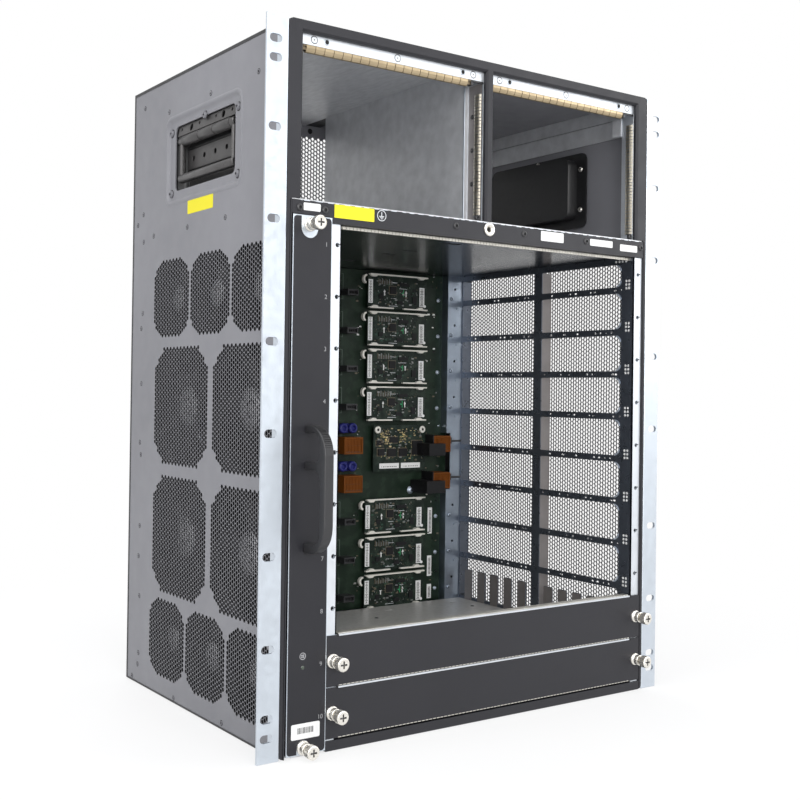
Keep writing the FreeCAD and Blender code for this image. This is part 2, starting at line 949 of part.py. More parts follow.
def backplane_screws():
    """Round-headed screws beside the plug-in boards."""
    screws = []
    for number in card_slots:
        z = slot_bottom(number) + edge_screw_rise
        screws.append(peg(edge_screw_x, z, edge_screw_radius, "xz",
                          board_face - edge_screw_height, board_face, rivet_sides))
    return group(screws)


# ---------------------------------------------------------------------------
# Fan tray
# ---------------------------------------------------------------------------
def fan_tray_frame():
    """Channel that carries the fans behind the tray plate."""
    left = tray_left_x + sheet
    path = [(left, plate_rear), (tray_right_x, plate_rear), (tray_right_x, tray_back),
            (left, tray_back)]
    channel = folded(path, "xy", tray_box_bottom, tray_box_top)
    lids = []
    for z in (tray_box_bottom, tray_box_top - sheet):
        lids.append(box(left, tray_right_x, plate_rear, tray_back, z, z + sheet))
    bores = []
    for width, y, z in fan_places():
        points = polygon_points(y, z, width / 2 - bore_wall, bore_sides)
        bores.append(prism(points, "yz", fan_right_x - 1, tray_right_x + 1))
    return fuse([channel] + lids).cut(bores)


def fan_tray_plate():
    """Zinc front plate of the tray."""
    plate = box(tray_left_x, tray_right_x, front, plate_rear, tray_lift, tray_height)
    holes = []
    for z in (tray_screw_inset, top_screw_z):
        holes.append(drilled(tray_screw_x, z, hole_radius, "xz",
                             front - 1, plate_rear + 1, small_sides))
    return plate.cut(holes)


def fan_tray_overlay():
    """Black cover sheet of the tray plate, notched around the captive screws."""
    left = tray_left_x + overlay_inset
    right = tray_right_x - overlay_inset
    low = tray_lift + overlay_inset
    high = tray_height - overlay_inset
    cover = rounded(left, right, low, high, overlay_corner, "xz",
                    front - overlay_sheet, front)
    notches = []
    reach = overlay_notch / 2
    for z0, z1 in ((low - reach, low + overlay_notch_depth - overlay_inset),
                   (high + overlay_inset - overlay_notch_depth, high + reach)):
        notches.append(rounded(tray_screw_x - reach, tray_screw_x + reach, z0, z1,
                               reach - 0.01, "xz", front - 1, front + 1))
    return cover.cut(notches)


def fan_tray_handle():
    """Pull handle with a finger opening and a small loop above it."""
    x0 = pull_x - pull_width / 2
    x1 = pull_x + pull_width / 2
    outer = front - pull_reach
    base = front - overlay_sheet
    nose = rounded(outer, base + pull_round, pull_bottom, pull_top, pull_round,
                   "yz", x0, x1, pull_steps)
    inner = outer + pull_bar
    behind = base + pull_inner_round
    finger = rounded(inner, behind + 1, pull_bottom + pull_foot, pull_branch_low,
                     pull_inner_round, "yz", x0 - 1, x1 + 1)
    loop = rounded(inner, behind + 1, pull_branch_high, pull_top - pull_loop_foot,
                   pull_inner_round, "yz", x0 - 1, x1 + 1)
    panel = box(x0 - 1, x1 + 1, base, base + 2 * pull_round,
                pull_bottom - 1, pull_top + 1)
    return nose.cut([finger, loop, panel])


def fan_housing(width, y, z):
    """Square fan frame with two struts, a motor plate and the axle."""
    half = width / 2
    bore = half - bore_wall
    body = box(fan_left_x, fan_right_x, y - half, y + half, z - half, z + half)
    hole = prism(polygon_points(y, z, bore, bore_sides), "yz",
                 fan_left_x - 1, fan_right_x + 1)
    rear = fan_right_x - strut_depth
    hub = hub_radii[width]
    pieces = [body.cut(hole)]
    pieces.append(prism(polygon_points(y, z, hub, hub_sides), "yz", rear, fan_right_x))
    reach = bore + bore_wall / 2
    pieces.append(box(rear, fan_right_x, y - strut_width / 2, y + strut_width / 2,
                      z - reach, z + reach))
    start = fan_left_x + rotor_inset + hub_cap + rotor_gap
    pieces.append(peg(y, z, axle_radius, "yz", start, rear + 1, axle_sides))
    return fuse(pieces)


def fan_housings():
    """All ten fan frames, seated on the wall of the tray."""
    return group(fan_housing(*fan) for fan in fan_places())


def fan_rotor(width, y, z):
    """Impeller: capped hub and pitched blades, bored for its axle."""
    hub = hub_radii[width]
    blades = large_blades if width == large_fan else small_blades
    x0 = fan_left_x + rotor_inset
    x1 = fan_right_x - strut_depth - rotor_gap
    middle = (x0 + x1) / 2
    reach = width / 2 - bore_wall - tip_clearance
    pieces = [prism(polygon_points(y, z, hub, hub_sides), "yz", x0, x1)]
    blade = box(middle - blade_chord / 2, middle + blade_chord / 2,
                y - blade_thick / 2, y + blade_thick / 2, z + hub * 0.9, z + reach)
    blade.rotate(V(middle, y, z), V(0, 0, 1), blade_angle)
    for index in range(blades):
        copy = blade.copy()
        copy.rotate(V(middle, y, z), V(1, 0, 0), index * 360.0 / blades)
        pieces.append(copy)
    bore = drilled(y, z, axle_radius + axle_gap, "yz", x0 + hub_cap, x1 + 1, axle_sides)
    return fuse(pieces).cut(bore)


# ---------------------------------------------------------------------------
# Captive screws and blank panels
# ---------------------------------------------------------------------------
def captive_screw(x, z):
    """Knurled screw with a cross recess, held by its collar."""
    face = front - screw_reach
    head = prism(polygon_points(x, z, head_radius, head_sides), "xz",
                 face, face + head_length)
    tip = flange_rear + screw_past
    shank = peg(x, z, shank_radius, "xz", face + 1, tip, round_sides)
    recess = []
    for wide, high in ((recess_span, recess_width), (recess_width, recess_span)):
        recess.append(box(x - wide / 2, x + wide / 2, face - 1, face + recess_depth,
                          z - high / 2, z + high / 2))
    return fuse([head, shank]).cut(recess)


def collar(x, z):
    """Plain ring on the panel that keeps a captive screw."""
    ring = peg(x, z, collar_radius, "xz", front - collar_length, front, round_sides)
    bore = drilled(x, z, shank_radius + screw_gap, "xz",
                   front - collar_length - 1, front + 1, small_sides)
    return ring.cut(bore)


def blank_panel(number):
    """Blank front of a slot with an upper and a lower return."""
    low = slot_bottom(number) + blank_play
    high = slot_bottom(number) + slot_pitch - blank_play
    plate = box(blank_left_x, blank_right_x, front, plate_rear, low, high)
    left = cage_left + blank_return_play
    right = cage_right - blank_return_play
    returns = []
    for z in (low, high - sheet):
        returns.append(box(left, right, plate_rear, plate_rear + blank_return,
                           z, z + sheet))
    middle = slot_bottom(number) + slot_pitch / 2
    holes = []
    for x in (blank_screw_left, blank_screw_right):
        holes.append(drilled(x, middle, hole_radius, "xz",
                             front - 1, plate_rear + 1, small_sides))
    return fuse([plate] + returns).cut(holes)


# ---------------------------------------------------------------------------
# Lifting handles and small screws
# ---------------------------------------------------------------------------
def handle_tray():
    """Recess box of the right lifting handle with holes for its pins."""
    half = pocket_width / 2
    low = pocket_height_centre - pocket_height / 2
    high = pocket_height_centre + pocket_height / 2
    flange = rounded(-pad_width / 2 - sheet, pad_width / 2 + sheet,
                     pad_height_centre - pad_height / 2 - sheet,
                     pad_height_centre + pad_height / 2, pad_round,
                     "yz", pocket_face - pocket_flange, pocket_face)
    body = rounded(-half - sheet, half + sheet, low - sheet, high + sheet,
                   pocket_round + sheet, "yz", pocket_face - pocket_depth, pocket_face)
    space = rounded(-half, half, low, high, pocket_round, "yz",
                    pocket_face - pocket_depth + sheet, pocket_face + 1)
    pins = drilled(half_width - bail_inset, bail_height, pin_radius + pin_gap, "xz",
                   -half - 5, half + 5, small_sides)
    return fuse([flange, body]).cut([space, pins])


def lift_handle():
    """Right bail: hinge tube, grip and two arms."""
    x = half_width - bail_inset
    half = bail_width / 2
    low = bail_height - bail_drop
    tube = peg(x, bail_height, bail_radius, "xz", -half, half, round_sides)
    grip = peg(x, low, bail_radius, "xz", -half, half, round_sides)
    reach = pocket_width / 2 + sheet
    pins = peg(x, bail_height, pin_radius, "xz", -reach, reach, round_sides)
    arms = []
    for y in (-half, half - bail_arm):
        arms.append(box(x - bail_radius * 0.7, x + bail_radius * 0.7, y, y + bail_arm,
                        low, bail_height))
    return fuse([tube, grip, pins] + arms)


def chassis_screws():
    """Flat screw heads of the middle beam and of the bay flanges."""
    screws = []
    z = beam_bottom + beam_screw_rise
    xs = [inset - half_width for inset in beam_screws_left]
    xs += [half_width - inset for inset in beam_screws_right]
    for x in xs:
        screws.append(peg(x, z, small_screw_radius, "xz",
                          front - small_screw_height, front, rivet_sides))
    z = zinc_under + zinc_hole_rise
    for (left, right, _), inset in zip(bays, zinc_screw_insets):
        for x in (left + inset, (left + right) / 2, right - inset):
            screws.append(peg(x, z, small_screw_radius, "xz",
                              frame_rear - small_screw_height, frame_rear, rivet_sides))
    return group(screws)


# ---------------------------------------------------------------------------
# Export
# ---------------------------------------------------------------------------
os.makedirs("parts", exist_ok=True)

export("base_panel", base_panel())
export("top_panel", top_panel())
export("rear_panel", rear_panel())
export("left_side_panel", left_side_panel())
export("right_side_panel", right_side_panel())
export("front_frame", front_frame())
export("mid_beam", mid_beam())
export("ground_socket", ground_socket())
export("rack_ear_right", rack_ear())
export("rack_ear_left", mirrored(rack_ear()))
export("psu_shelf", psu_shelf())
export("divider_wall", divider_wall())
export("psu_flange_left", psu_flange(*bays[0]))
export("psu_flange_right", psu_flange(*bays[1]))
export("gasket_strips", gasket_strips())
export("psu_connectors", psu_connectors())
export("cage_left_wall", cage_left_wall())
export("cage_right_wall", cage_right_wall())
export("cage_ceiling", cage_ceiling())
export("cage_floor", cage_floor())
export("backplane", backplane())
export("mezz_boards", mezz_boards())
export("centre_board", centre_board())
export("orange_connectors", orange_connectors())
export("blue_connectors", blue_connectors())
export("black_connectors", black_connectors())
export("backplane_screws", backplane_screws())
export("fan_tray_frame", fan_tray_frame())
export("fan_tray_plate", fan_tray_plate())
export("fan_tray_overlay", fan_tray_overlay())
export("fan_tray_handle", fan_tray_handle())
export("fan_housings", fan_housings())
for index, fan in enumerate(fan_places(), start=1):
    export("fan_rotor_%02d" % index, fan_rotor(*fan))
export("tray_screw_top", captive_screw(tray_screw_x, top_screw_z))
export("tray_screw_bottom", captive_screw(tray_screw_x, tray_screw_inset))
export("tray_collars", group(collar(tray_screw_x, z)
                             for z in (tray_screw_inset, top_screw_z)))
for name, number in (("upper", slot_count - 1), ("lower", slot_count)):
    middle_z = slot_bottom(number) + slot_pitch / 2
    export("blank_panel_" + name, blank_panel(number))
    export("blank_collars_" + name, group(collar(x, middle_z)
                                          for x in (blank_screw_left, blank_screw_right)))
    export("blank_" + name + "_screw_left", captive_screw(blank_screw_left, middle_z))
    export("blank_" + name + "_screw_right", captive_screw(blank_screw_right, middle_z))
export("handle_tray_right", handle_tray())
export("handle_tray_left", mirrored(handle_tray()))
export("lift_handle_right", lift_handle())
export("lift_handle_left", mirrored(lift_handle()))
export("chassis_screws", chassis_screws())
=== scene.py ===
"""Looks of a modular chassis switch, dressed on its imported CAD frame.

Sizes are written in millimetres in the frame's own axes (X right, Y back, Z up)
and turned into metres when a mesh is built.
"""

import logging
import math
import random
from dataclasses import dataclass, field
from enum import Enum
from functools import cache
from typing import Callable, Iterable, Iterator, Sequence

import bmesh
import bpy
from mathutils import Matrix, Vector
from mathutils.geometry import delaunay_2d_cdt

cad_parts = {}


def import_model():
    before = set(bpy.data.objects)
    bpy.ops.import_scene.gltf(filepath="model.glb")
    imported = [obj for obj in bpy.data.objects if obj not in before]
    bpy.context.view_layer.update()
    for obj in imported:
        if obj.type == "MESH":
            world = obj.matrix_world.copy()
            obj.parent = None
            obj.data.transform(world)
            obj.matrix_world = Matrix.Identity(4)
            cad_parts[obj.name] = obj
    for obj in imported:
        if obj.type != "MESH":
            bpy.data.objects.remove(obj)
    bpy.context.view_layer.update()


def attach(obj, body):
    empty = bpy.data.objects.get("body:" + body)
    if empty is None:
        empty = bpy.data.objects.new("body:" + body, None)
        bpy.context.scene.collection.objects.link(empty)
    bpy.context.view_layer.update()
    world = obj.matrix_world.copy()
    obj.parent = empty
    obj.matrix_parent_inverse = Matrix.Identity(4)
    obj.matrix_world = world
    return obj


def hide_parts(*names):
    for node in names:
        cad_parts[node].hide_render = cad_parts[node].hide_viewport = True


log = logging.getLogger("chassis")

Point2 = tuple[float, float]
Point3 = tuple[float, float, float]
Limits = tuple[float, float, float, float]
Colour = tuple[float, float, float]
Loop = list[Point2]

MM = 0.001
CHASSIS = "chassis"
TRAY = "fan_tray"
FACE = -158.0  # front of the panels
HALF = 220.0  # half the width of the body
TOP = 618.5
GAUGE = 1.2  # thickness of the sheets


class Plane(Enum):
    """Drawing planes; the value lists which axes u, v and w become."""

    XY = (0, 1, 2)
    XZ = (0, 2, 1)
    YZ = (1, 2, 0)

    def at(self, u: float, v: float, w: float) -> Point3:
        """Returns the point in space of plane coordinates u, v at level w."""
        point = dict(zip(self.value, (u, v, w)))
        return point[0], point[1], point[2]


XY, XZ, YZ = Plane


class Side(Enum):
    """Sides of the chassis; the value is the sign of X."""

    LEFT = -1
    RIGHT = 1

    @property
    def word(self) -> str:
        """Returns the side's name as pieces carry it."""
        return self.name.lower()


# --- Outlines ---
def rectangle(u0: float, u1: float, v0: float, v1: float) -> Loop:
    """Returns the four corners of a rectangle."""
    return [(u0, v0), (u1, v0), (u1, v1), (u0, v1)]


def arc(u: float, v: float, radius: float, start: float, end: float, steps: int) -> Loop:
    """Returns points on an arc between two angles in degrees."""
    angles = [math.radians(start + (end - start) * k / steps) for k in range(steps + 1)]
    return [(u + radius * math.cos(a), v + radius * math.sin(a)) for a in angles]


def rounded(u0: float, u1: float, v0: float, v1: float, radius: float, steps: int = 5) -> Loop:
    """Returns a rectangle with round corners.

    Args:
        u0, u1, v0, v1: Limits of the rectangle.
        radius: Corner radius.
        steps: Segments in each corner.

    Returns:
        The outline, counter-clockwise from the lower right corner.
    """
    return (arc(u1 - radius, v0 + radius, radius, -90, 0, steps)
            + arc(u1 - radius, v1 - radius, radius, 0, 90, steps)
            + arc(u0 + radius, v1 - radius, radius, 90, 180, steps)
            + arc(u0 + radius, v0 + radius, radius, 180, 270, steps))


def ring(u: float, v: float, radius: float, sides: int = 16, turn: float = 0) -> Loop:
    """Returns a regular polygon about a point, turned by a share of one side."""
    return [(u + radius * math.cos(math.tau * (k + turn) / sides),
             v + radius * math.sin(math.tau * (k + turn) / sides)) for k in range(sides)]


def octagon(u0: float, u1: float, v0: float, v1: float, corner: float) -> Loop:
    """Returns a rectangle with its corners cut off, counter-clockwise."""
    return [(u0 + corner, v0), (u1 - corner, v0), (u1, v0 + corner), (u1, v1 - corner),
            (u1 - corner, v1), (u0 + corner, v1), (u0, v1 - corner), (u0, v0 + corner)]


def inside(loop: Loop, u: float, v: float, margin: float) -> bool:
    """Tells whether a point lies inside a convex outline.

    Args:
        loop: Convex outline, counter-clockwise.
        u, v: The point.
        margin: Least distance from each edge.

    Returns:
        True if the point keeps the margin from every edge.
    """
    for (a, b), (c, d) in zip(loop, loop[1:] + loop[:1]):
        length = math.hypot(c - a, d - b)
        if ((c - a) * (v - b) - (d - b) * (u - a)) / length < margin:
            return False
    return True


def perforation(outline: Loop, pitch: float, across: float) -> list[Loop]:
    """Fills an outline with six-sided holes in upright columns.

    Args:
        outline: Convex outline, counter-clockwise.
        pitch: Distance between neighbouring holes.
        across: Width of a hole across its flats.

    Returns:
        The outlines of the holes.
    """
    us, vs = zip(*outline)
    column_pitch = pitch * math.sqrt(3) / 2
    mid_u, mid_v = (min(us) + max(us)) / 2, (min(vs) + max(vs)) / 2
    columns = int((max(us) - min(us)) / 2 / column_pitch) + 1
    rows = int((max(vs) - min(vs)) / 2 / pitch) + 1
    holes: list[Loop] = []
    for column in range(-columns, columns + 1):
        u, shift = mid_u + column * column_pitch, pitch / 2 if column % 2 else 0
        for row in range(-rows, rows + 1):
            v = mid_v + row * pitch + shift
            if inside(outline, u, v, across / 2):
                holes.append(ring(u, v, across / math.sqrt(3), 6))
    return holes


def spread(count: int, pitch: float, middle: float = 0) -> list[float]:
    """Returns evenly spaced places about a middle."""
    return [middle + (k - (count - 1) / 2) * pitch for k in range(count)]


# --- Mesh building ---
class Shape:
    """Collects faces in millimetres and becomes one Blender object."""

    def __init__(self, name: str) -> None:
        """Starts an empty shape whose faces take the first finish."""
        self.name = name
        self.points: list[Point3] = []
        self.faces: list[tuple[int, ...]] = []
        self.slots: list[int] = []
        self.smooth: list[bool] = []
        self.slot = 0

    def add(self, points: Iterable[Point3], faces: Iterable[Sequence[int]],
            smooth: bool = False) -> None:
        """Adds points and faces in the current slot.

        Args:
            points: New points.
            faces: Faces, as places in the new points.
            smooth: Whether the faces are shaded smoothly.
        """
        base = len(self.points)
        self.points.extend(points)
        for face in faces:
            self.faces.append(tuple(base + index for index in face))
            self.slots.append(self.slot)
            self.smooth.append(smooth)

    def rows(self, points: Sequence[Point3], sides: int, closed: bool) -> None:
        """Adds smooth bands between rows of points.

        Args:
            points: Rows of points, one after another.
            sides: Points in each row.
            closed: Whether the first and the last row are capped.
        """
        last = len(points) - sides
        self.add(points, [(row + k, row + (k + 1) % sides, row + sides + (k + 1) % sides,
                           row + sides + k) for row in range(0, last, sides)
                          for k in range(sides)], True)
        for row in (0, last) if closed else ():
            self.add(points[row:row + sides], [tuple(range(sides))])

    def prism(self, loop: Loop, plane: Plane, low: float, high: float) -> None:
        """Adds a solid with a flat outline between two levels."""
        count = len(loop)
        points = [plane.at(u, v, level) for level in (low, high) for u, v in loop]
        faces: list[Sequence[int]] = [tuple(range(count)), tuple(range(count, 2 * count))]
        faces += [(k, (k + 1) % count, count + (k + 1) % count, count + k) for k in range(count)]
        self.add(points, faces)

    def box(self, x0: float, x1: float, y0: float, y1: float, z0: float, z1: float) -> None:
        """Adds a block between two corners."""
        self.prism(rectangle(x0, x1, y0, y1), XY, z0, z1)

    def sheet(self, outline: Loop, holes: list[Loop], plane: Plane, low: float, high: float,
              edges: bool = True, hole_slot: int | None = None) -> None:
        """Adds a flat sheet with holes cut through it.

        Args:
            outline: Outer outline.
            holes: Outlines that are cut out; none touches another.
            plane: Drawing plane.
            low, high: Levels of the two faces.
            edges: Whether the outer edge is closed too.
            hole_slot: Material slot of the holes' walls if it is another one.
        """
        flat: list[Vector] = []
        rings: list[list[int]] = []
        for loop in [outline] + holes:
            rings.append(list(range(len(flat), len(flat) + len(loop))))
            flat.extend(Vector(point) for point in loop)
        points, _, faces, _, _, owners = delaunay_2d_cdt(flat, [], rings, 1, 1e-6, True)
        kept = [face for face, owner in zip(faces, owners) if list(owner) == [0]]
        for level in (low, high):
            self.add([plane.at(p.x, p.y, level) for p in points], kept)
        if edges:
            self.wall(outline, plane, low, high)
        face_slot = self.slot
        self.slot = face_slot if hole_slot is None else hole_slot
        for loop in holes:
            self.wall(loop, plane, low, high)
        self.slot = face_slot

    def hoop(self, u: float, v: float, outer: float, inner: float, plane: Plane, low: float,
             high: float, sides: int) -> None:
        """Adds a flat ring between two radii."""
        self.sheet(ring(u, v, outer, sides), [ring(u, v, inner, sides)], plane, low, high)

    def wall(self, loop: Loop, plane: Plane, low: float, high: float,
             other: Loop | None = None, smooth: bool = False) -> None:
        """Adds the band between a loop at one level and a loop at another.

        Args:
            loop: Loop at the first level.
            plane: Drawing plane.
            low, high: The two levels.
            other: Loop at the second level, if it isn't the same one.
            smooth: Whether the band is shaded smoothly.
        """
        count = len(loop)
        points = [plane.at(u, v, low) for u, v in loop]
        points += [plane.at(u, v, high) for u, v in other or loop]
        self.add(points, [(k, (k + 1) % count, count + (k + 1) % count, count + k)
                          for k in range(count)], smooth)

    def lathe(self, profile: Sequence[Point2], plane: Plane, u: float, v: float,
              sides: int = 24, closed: bool = True, base: float = 0, out: float = 1) -> None:
        """Adds a turned form.

        Args:
            profile: Pairs of radius and level along the plane's normal.
            plane: Plane the axis stands on.
            u, v: Where the axis meets the plane.
            sides: Segments round the axis.
            closed: Whether both ends are capped.
            base: Level that the profile's levels start from.
            out: Direction in which they count, 1 or -1.
        """
        self.rows([plane.at(a, b, base + out * level) for radius, level in profile
                   for a, b in ring(u, v, radius, sides)], sides, closed)

    def tube(self, path: Sequence[Point3], radius: float, sides: int = 12) -> None:
        """Adds a round bar along a path of points."""
        points: list[Point3] = []
        vectors = [Vector(p) for p in path]
        guide = Vector((0.31, 0.52, 0.79))
        for k, here in enumerate(vectors):
            ahead = vectors[min(k + 1, len(vectors) - 1)] - vectors[max(k - 1, 0)]
            across = ahead.cross(guide).normalized()
            rise = ahead.cross(across).normalized()
            for step in range(sides):
                angle = math.tau * step / sides
                spot = here + across * radius * math.cos(angle) + rise * radius * math.sin(angle)
                points.append((spot.x, spot.y, spot.z))
        self.rows(points, sides, True)

    def screw(self, plane: Plane, u: float, v: float, face: float, out: float,
              size: Limits) -> None:
        """Adds a domed screw head with a sunk six-sided socket.

        Args:
            plane: Plane the head lies on.
            u, v: Middle of the head.
            face: Level of the surface.
            out: Direction of the surface's outer side, 1 or -1.
            size: Radius and height of the head, radius of the socket, and width of the
                shadowed gap round the head. Slot 0 is the head and slot 1 the shadow.
        """
        radius, height, socket, gap = size
        if gap:
            self.slot = 1
            self.prism(ring(u, v, radius + gap, 20), plane, face - out * 0.1, face + out * 0.06)
        self.slot = 0
        self.lathe(((radius, -0.2), (radius, height * 0.35), (radius * 0.8, height * 0.85),
                    (radius * 0.5, height), (socket, height)), plane, u, v, 14, False, face, out)
        self.lathe(((socket, height), (socket * 0.9, height - 0.7)), plane, u, v, 6, False,
                   face, out)
        self.slot = 1
        self.prism(ring(u, v, socket, 6), plane, face + out * (height - 0.75),
                   face + out * (height - 0.7))
        self.slot = 0

    def bar_code(self, area: Limits, back: float, thick: float, bars: Iterable[Limits],
                 ink: float = 0.05) -> None:
        """Adds a label with dark bars on a surface that faces the front.

        Args:
            area: Limits of the paper in X and Z. Its slot is 0, and the bars' slot is 1.
            back: Level of the surface.
            thick: Thickness of the paper.
            bars: Limits of each bar.
            ink: Thickness of the bars.
        """
        self.slot = 0
        self.box(area[0], area[1], back - thick, back, area[2], area[3])
        self.slot = 1
        for x0, x1, z0, z1 in bars:
            self.box(x0, x1, back - thick - ink, back - thick, z0, z1)
        self.slot = 0

    def build(self, *finishes: "Finish", body: str = CHASSIS, node: str = "",
              bevel: float = 0, segments: int = 2,
              ahead: Callable[[bmesh.types.BMesh], None] | None = None) -> None:
        """Makes the object, gives it its materials and lets it ride on a body.

        Args:
            finishes: Finishes in the order of the slots.
            body: Name of the CAD body that carries the piece.
            node: CAD node that the piece stands for, if any.
            bevel: Width of the rounded edges in millimetres.
            segments: Segments of the rounded edges.
            ahead: Optional last change to the mesh, in metres.
        """
        mesh = bpy.data.meshes.new(self.name)
        mesh.from_pydata([Vector(p) * MM for p in self.points], [], self.faces)
        mesh.polygons.foreach_set("material_index", self.slots)
        mesh.polygons.foreach_set("use_smooth", self.smooth)
        work = bmesh.new()
        work.from_mesh(mesh)
        bmesh.ops.remove_doubles(work, verts=work.verts, dist=1e-6)
        bmesh.ops.recalc_face_normals(work, faces=work.faces)
        if ahead:
            ahead(work)
        if bevel:
            soften(work, bevel * MM, segments)
        work.to_mesh(mesh)
        work.free()
        install(self.name, mesh, finishes, body, node)


def soften(work: bmesh.types.BMesh, width: float, segments: int) -> None:
    """Rounds every sharp edge of a mesh by a width in metres."""
    sharp = [edge for edge in work.edges
             if len(edge.link_faces) == 2 and edge.calc_face_angle(0.0) > math.radians(28)]
    bmesh.ops.bevel(work, geom=sharp, offset=width, offset_type="OFFSET", segments=segments,
                    profile=0.6, affect="EDGES", clamp_overlap=True)


def install(name: str, mesh: bpy.types.Mesh, finishes: Sequence["Finish"], body: str,
            node: str) -> None:
    """Turns a mesh into a piece that rides on a body.

    Args:
        name: Name of the piece.
        mesh: Its mesh.
        finishes: Finishes in the order of the slots.
        body: Body that carries the piece.
        node: CAD node that the piece stands for, if any.
    """
    piece = bpy.data.objects.new(name, mesh)
    bpy.context.scene.collection.objects.link(piece)
    for finish in finishes:
        mesh.materials.append(finish.material())
    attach(piece, body)
    if node:
        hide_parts(node)
    log.info("piece %s rides on %s", name, body)


def soft_copy(node: str, name: str, finish: "Finish", width: float, segments: int,
              body: str = CHASSIS) -> None:
    """Copies a CAD node with its edges rounded and lets the copy stand for it.

    Args:
        node: CAD node to copy.
        name: Name of the new piece.
        finish: Finish of the copy.
        width: Edge width in millimetres.
        segments: Segments of each edge.
        body: Body that carries it.
    """
    work = bmesh.new()
    work.from_mesh(bpy.context.scene.objects[node].data)
    bmesh.ops.remove_doubles(work, verts=work.verts, dist=1e-6)
    bmesh.ops.dissolve_limit(work, angle_limit=math.radians(1), verts=work.verts,
                             edges=work.edges, delimit={"NORMAL"})
    soften(work, width * MM, segments)
    mesh = bpy.data.meshes.new(name)
    work.to_mesh(mesh)
    work.free()
    mesh.materials.clear()
    install(name, mesh, (finish,), body, node)


def screw_set(name: str, plane: Plane, places: Iterable[Point2], face: float, out: float,
              size: Limits, finish: "Finish", node: str = "") -> None:
    """Builds a piece of equal screws on one face of the chassis.

    Args:
        name: Name of the piece.
        plane: Plane the heads lie on.
        places: Middles of the heads.
        face: Level of the surface.
        out: Direction of its outer side.
        size: Sizes of a head, as Shape.screw takes them.
        finish: Finish of the heads.
        node: CAD node that the piece stands for, if any.
    """
    shape = Shape(name)
    for u, v in places:
        shape.screw(plane, u, v, face, out, size)
    shape.build(finish, Finish.PIT, node=node)


# --- Finishes ---
class Nodes:
    """Node tree of one material with short calls for common nodes."""

    def __init__(self, name: str) -> None:
        """Starts a material with its shader."""
        self.material = bpy.data.materials.new(name)
        self.material.use_nodes = True
        self.tree = self.material.node_tree
        self.shader = self.tree.nodes["Principled BSDF"]

    def new(self, kind: str, **inputs: object) -> bpy.types.Node:
        """Adds a node and sets its inputs; underscores in a name stand for blanks."""
        node = self.tree.nodes.new(kind)
        for key, value in inputs.items():
            node.inputs[key.replace("_", " ")].default_value = value
        return node

    def link(self, start: bpy.types.NodeSocket, end: bpy.types.NodeSocket) -> None:
        """Joins two sockets."""
        self.tree.links.new(start, end)

    def place(self, stretch: Point3 = (1, 1, 1)) -> bpy.types.NodeSocket:
        """Returns object coordinates, stretched along the axes."""
        mapping = self.new("ShaderNodeMapping", Scale=stretch)
        self.link(self.new("ShaderNodeTexCoord").outputs["Object"], mapping.inputs["Vector"])
        return mapping.outputs["Vector"]

    def noise(self, scale: float, detail: float = 2,
              stretch: Point3 = (1, 1, 1)) -> bpy.types.NodeSocket:
        """Returns a noise value in object space."""
        node = self.new("ShaderNodeTexNoise", Scale=scale, Detail=detail)
        self.link(self.place(stretch), node.inputs["Vector"])
        return node.outputs["Fac"]

    def span(self, value: bpy.types.NodeSocket, low: float, high: float,
             start: float = 0.3, end: float = 0.7) -> bpy.types.NodeSocket:
        """Turns a value into a number that runs between two.

        Args:
            value: Socket of the value.
            low, high: Numbers at the start and the end.
            start, end: Values at which the run starts and ends.

        Returns:
            Socket of the number.
        """
        node = self.new("ShaderNodeMapRange", From_Min=start, From_Max=end, To_Min=low,
                        To_Max=high)
        self.link(value, node.inputs["Value"])
        return node.outputs["Result"]

    def ramp(self, value: bpy.types.NodeSocket, low: Colour, high: Colour) -> None:
        """Gives the shader a colour that runs between two as a value rises."""
        node = self.new("ShaderNodeValToRGB")
        for element, position, colour in zip(node.color_ramp.elements, (0.3, 0.7), (low, high)):
            element.position, element.color = position, (*colour, 1)
        self.link(value, node.inputs["Fac"])
        self.link(node.outputs["Color"], self.shader.inputs["Base Color"])

    def tint(self, value: bpy.types.NodeSocket, colour: Colour, low: float, high: float) -> None:
        """Gives the shader a colour that varies between two shades.

        Args:
            value: Socket that tells the shades apart.
            colour: The finish's colour.
            low, high: Factors of the two shades.
        """
        self.ramp(value, shade(colour, low), shade(colour, high))

    def gloss(self, value: bpy.types.NodeSocket, low: float, high: float) -> None:
        """Gives the shader a roughness that varies between two numbers."""
        self.link(self.span(value, low, high), self.shader.inputs["Roughness"])

    def bump(self, height: bpy.types.NodeSocket, strength: float, depth: float) -> None:
        """Turns a height into bumps of the shader's normal."""
        node = self.new("ShaderNodeBump", Strength=strength, Distance=depth)
        self.link(height, node.inputs["Height"])
        self.link(node.outputs["Normal"], self.shader.inputs["Normal"])

    def set(self, **values: object) -> None:
        """Sets shader inputs; underscores in a name stand for blanks."""
        for key, value in values.items():
            self.shader.inputs[key.replace("_", " ")].default_value = value


def shade(colour: Colour, factor: float) -> Colour:
    """Returns a colour made lighter or darker."""
    return colour[0] * factor, colour[1] * factor, colour[2] * factor


@dataclass(frozen=True)
class Paint:
    """Powder coat: fine orange peel, slight cloudiness and worn sheen."""

    name: str
    colour: Colour
    roughness: float = 0.45
    peel: float = 0.25
    specular: float = 0.5

    def make(self) -> bpy.types.Material:
        """Returns a new material of the finish."""
        nodes = Nodes(self.name)
        nodes.tint(nodes.noise(7, 4), self.colour, 0.93, 1.07)
        nodes.gloss(nodes.noise(60, 3), self.roughness - 0.05, self.roughness + 0.07)
        nodes.set(Specular_IOR_Level=self.specular)
        nodes.bump(nodes.noise(900), self.peel, 0.0002)
        return nodes.material


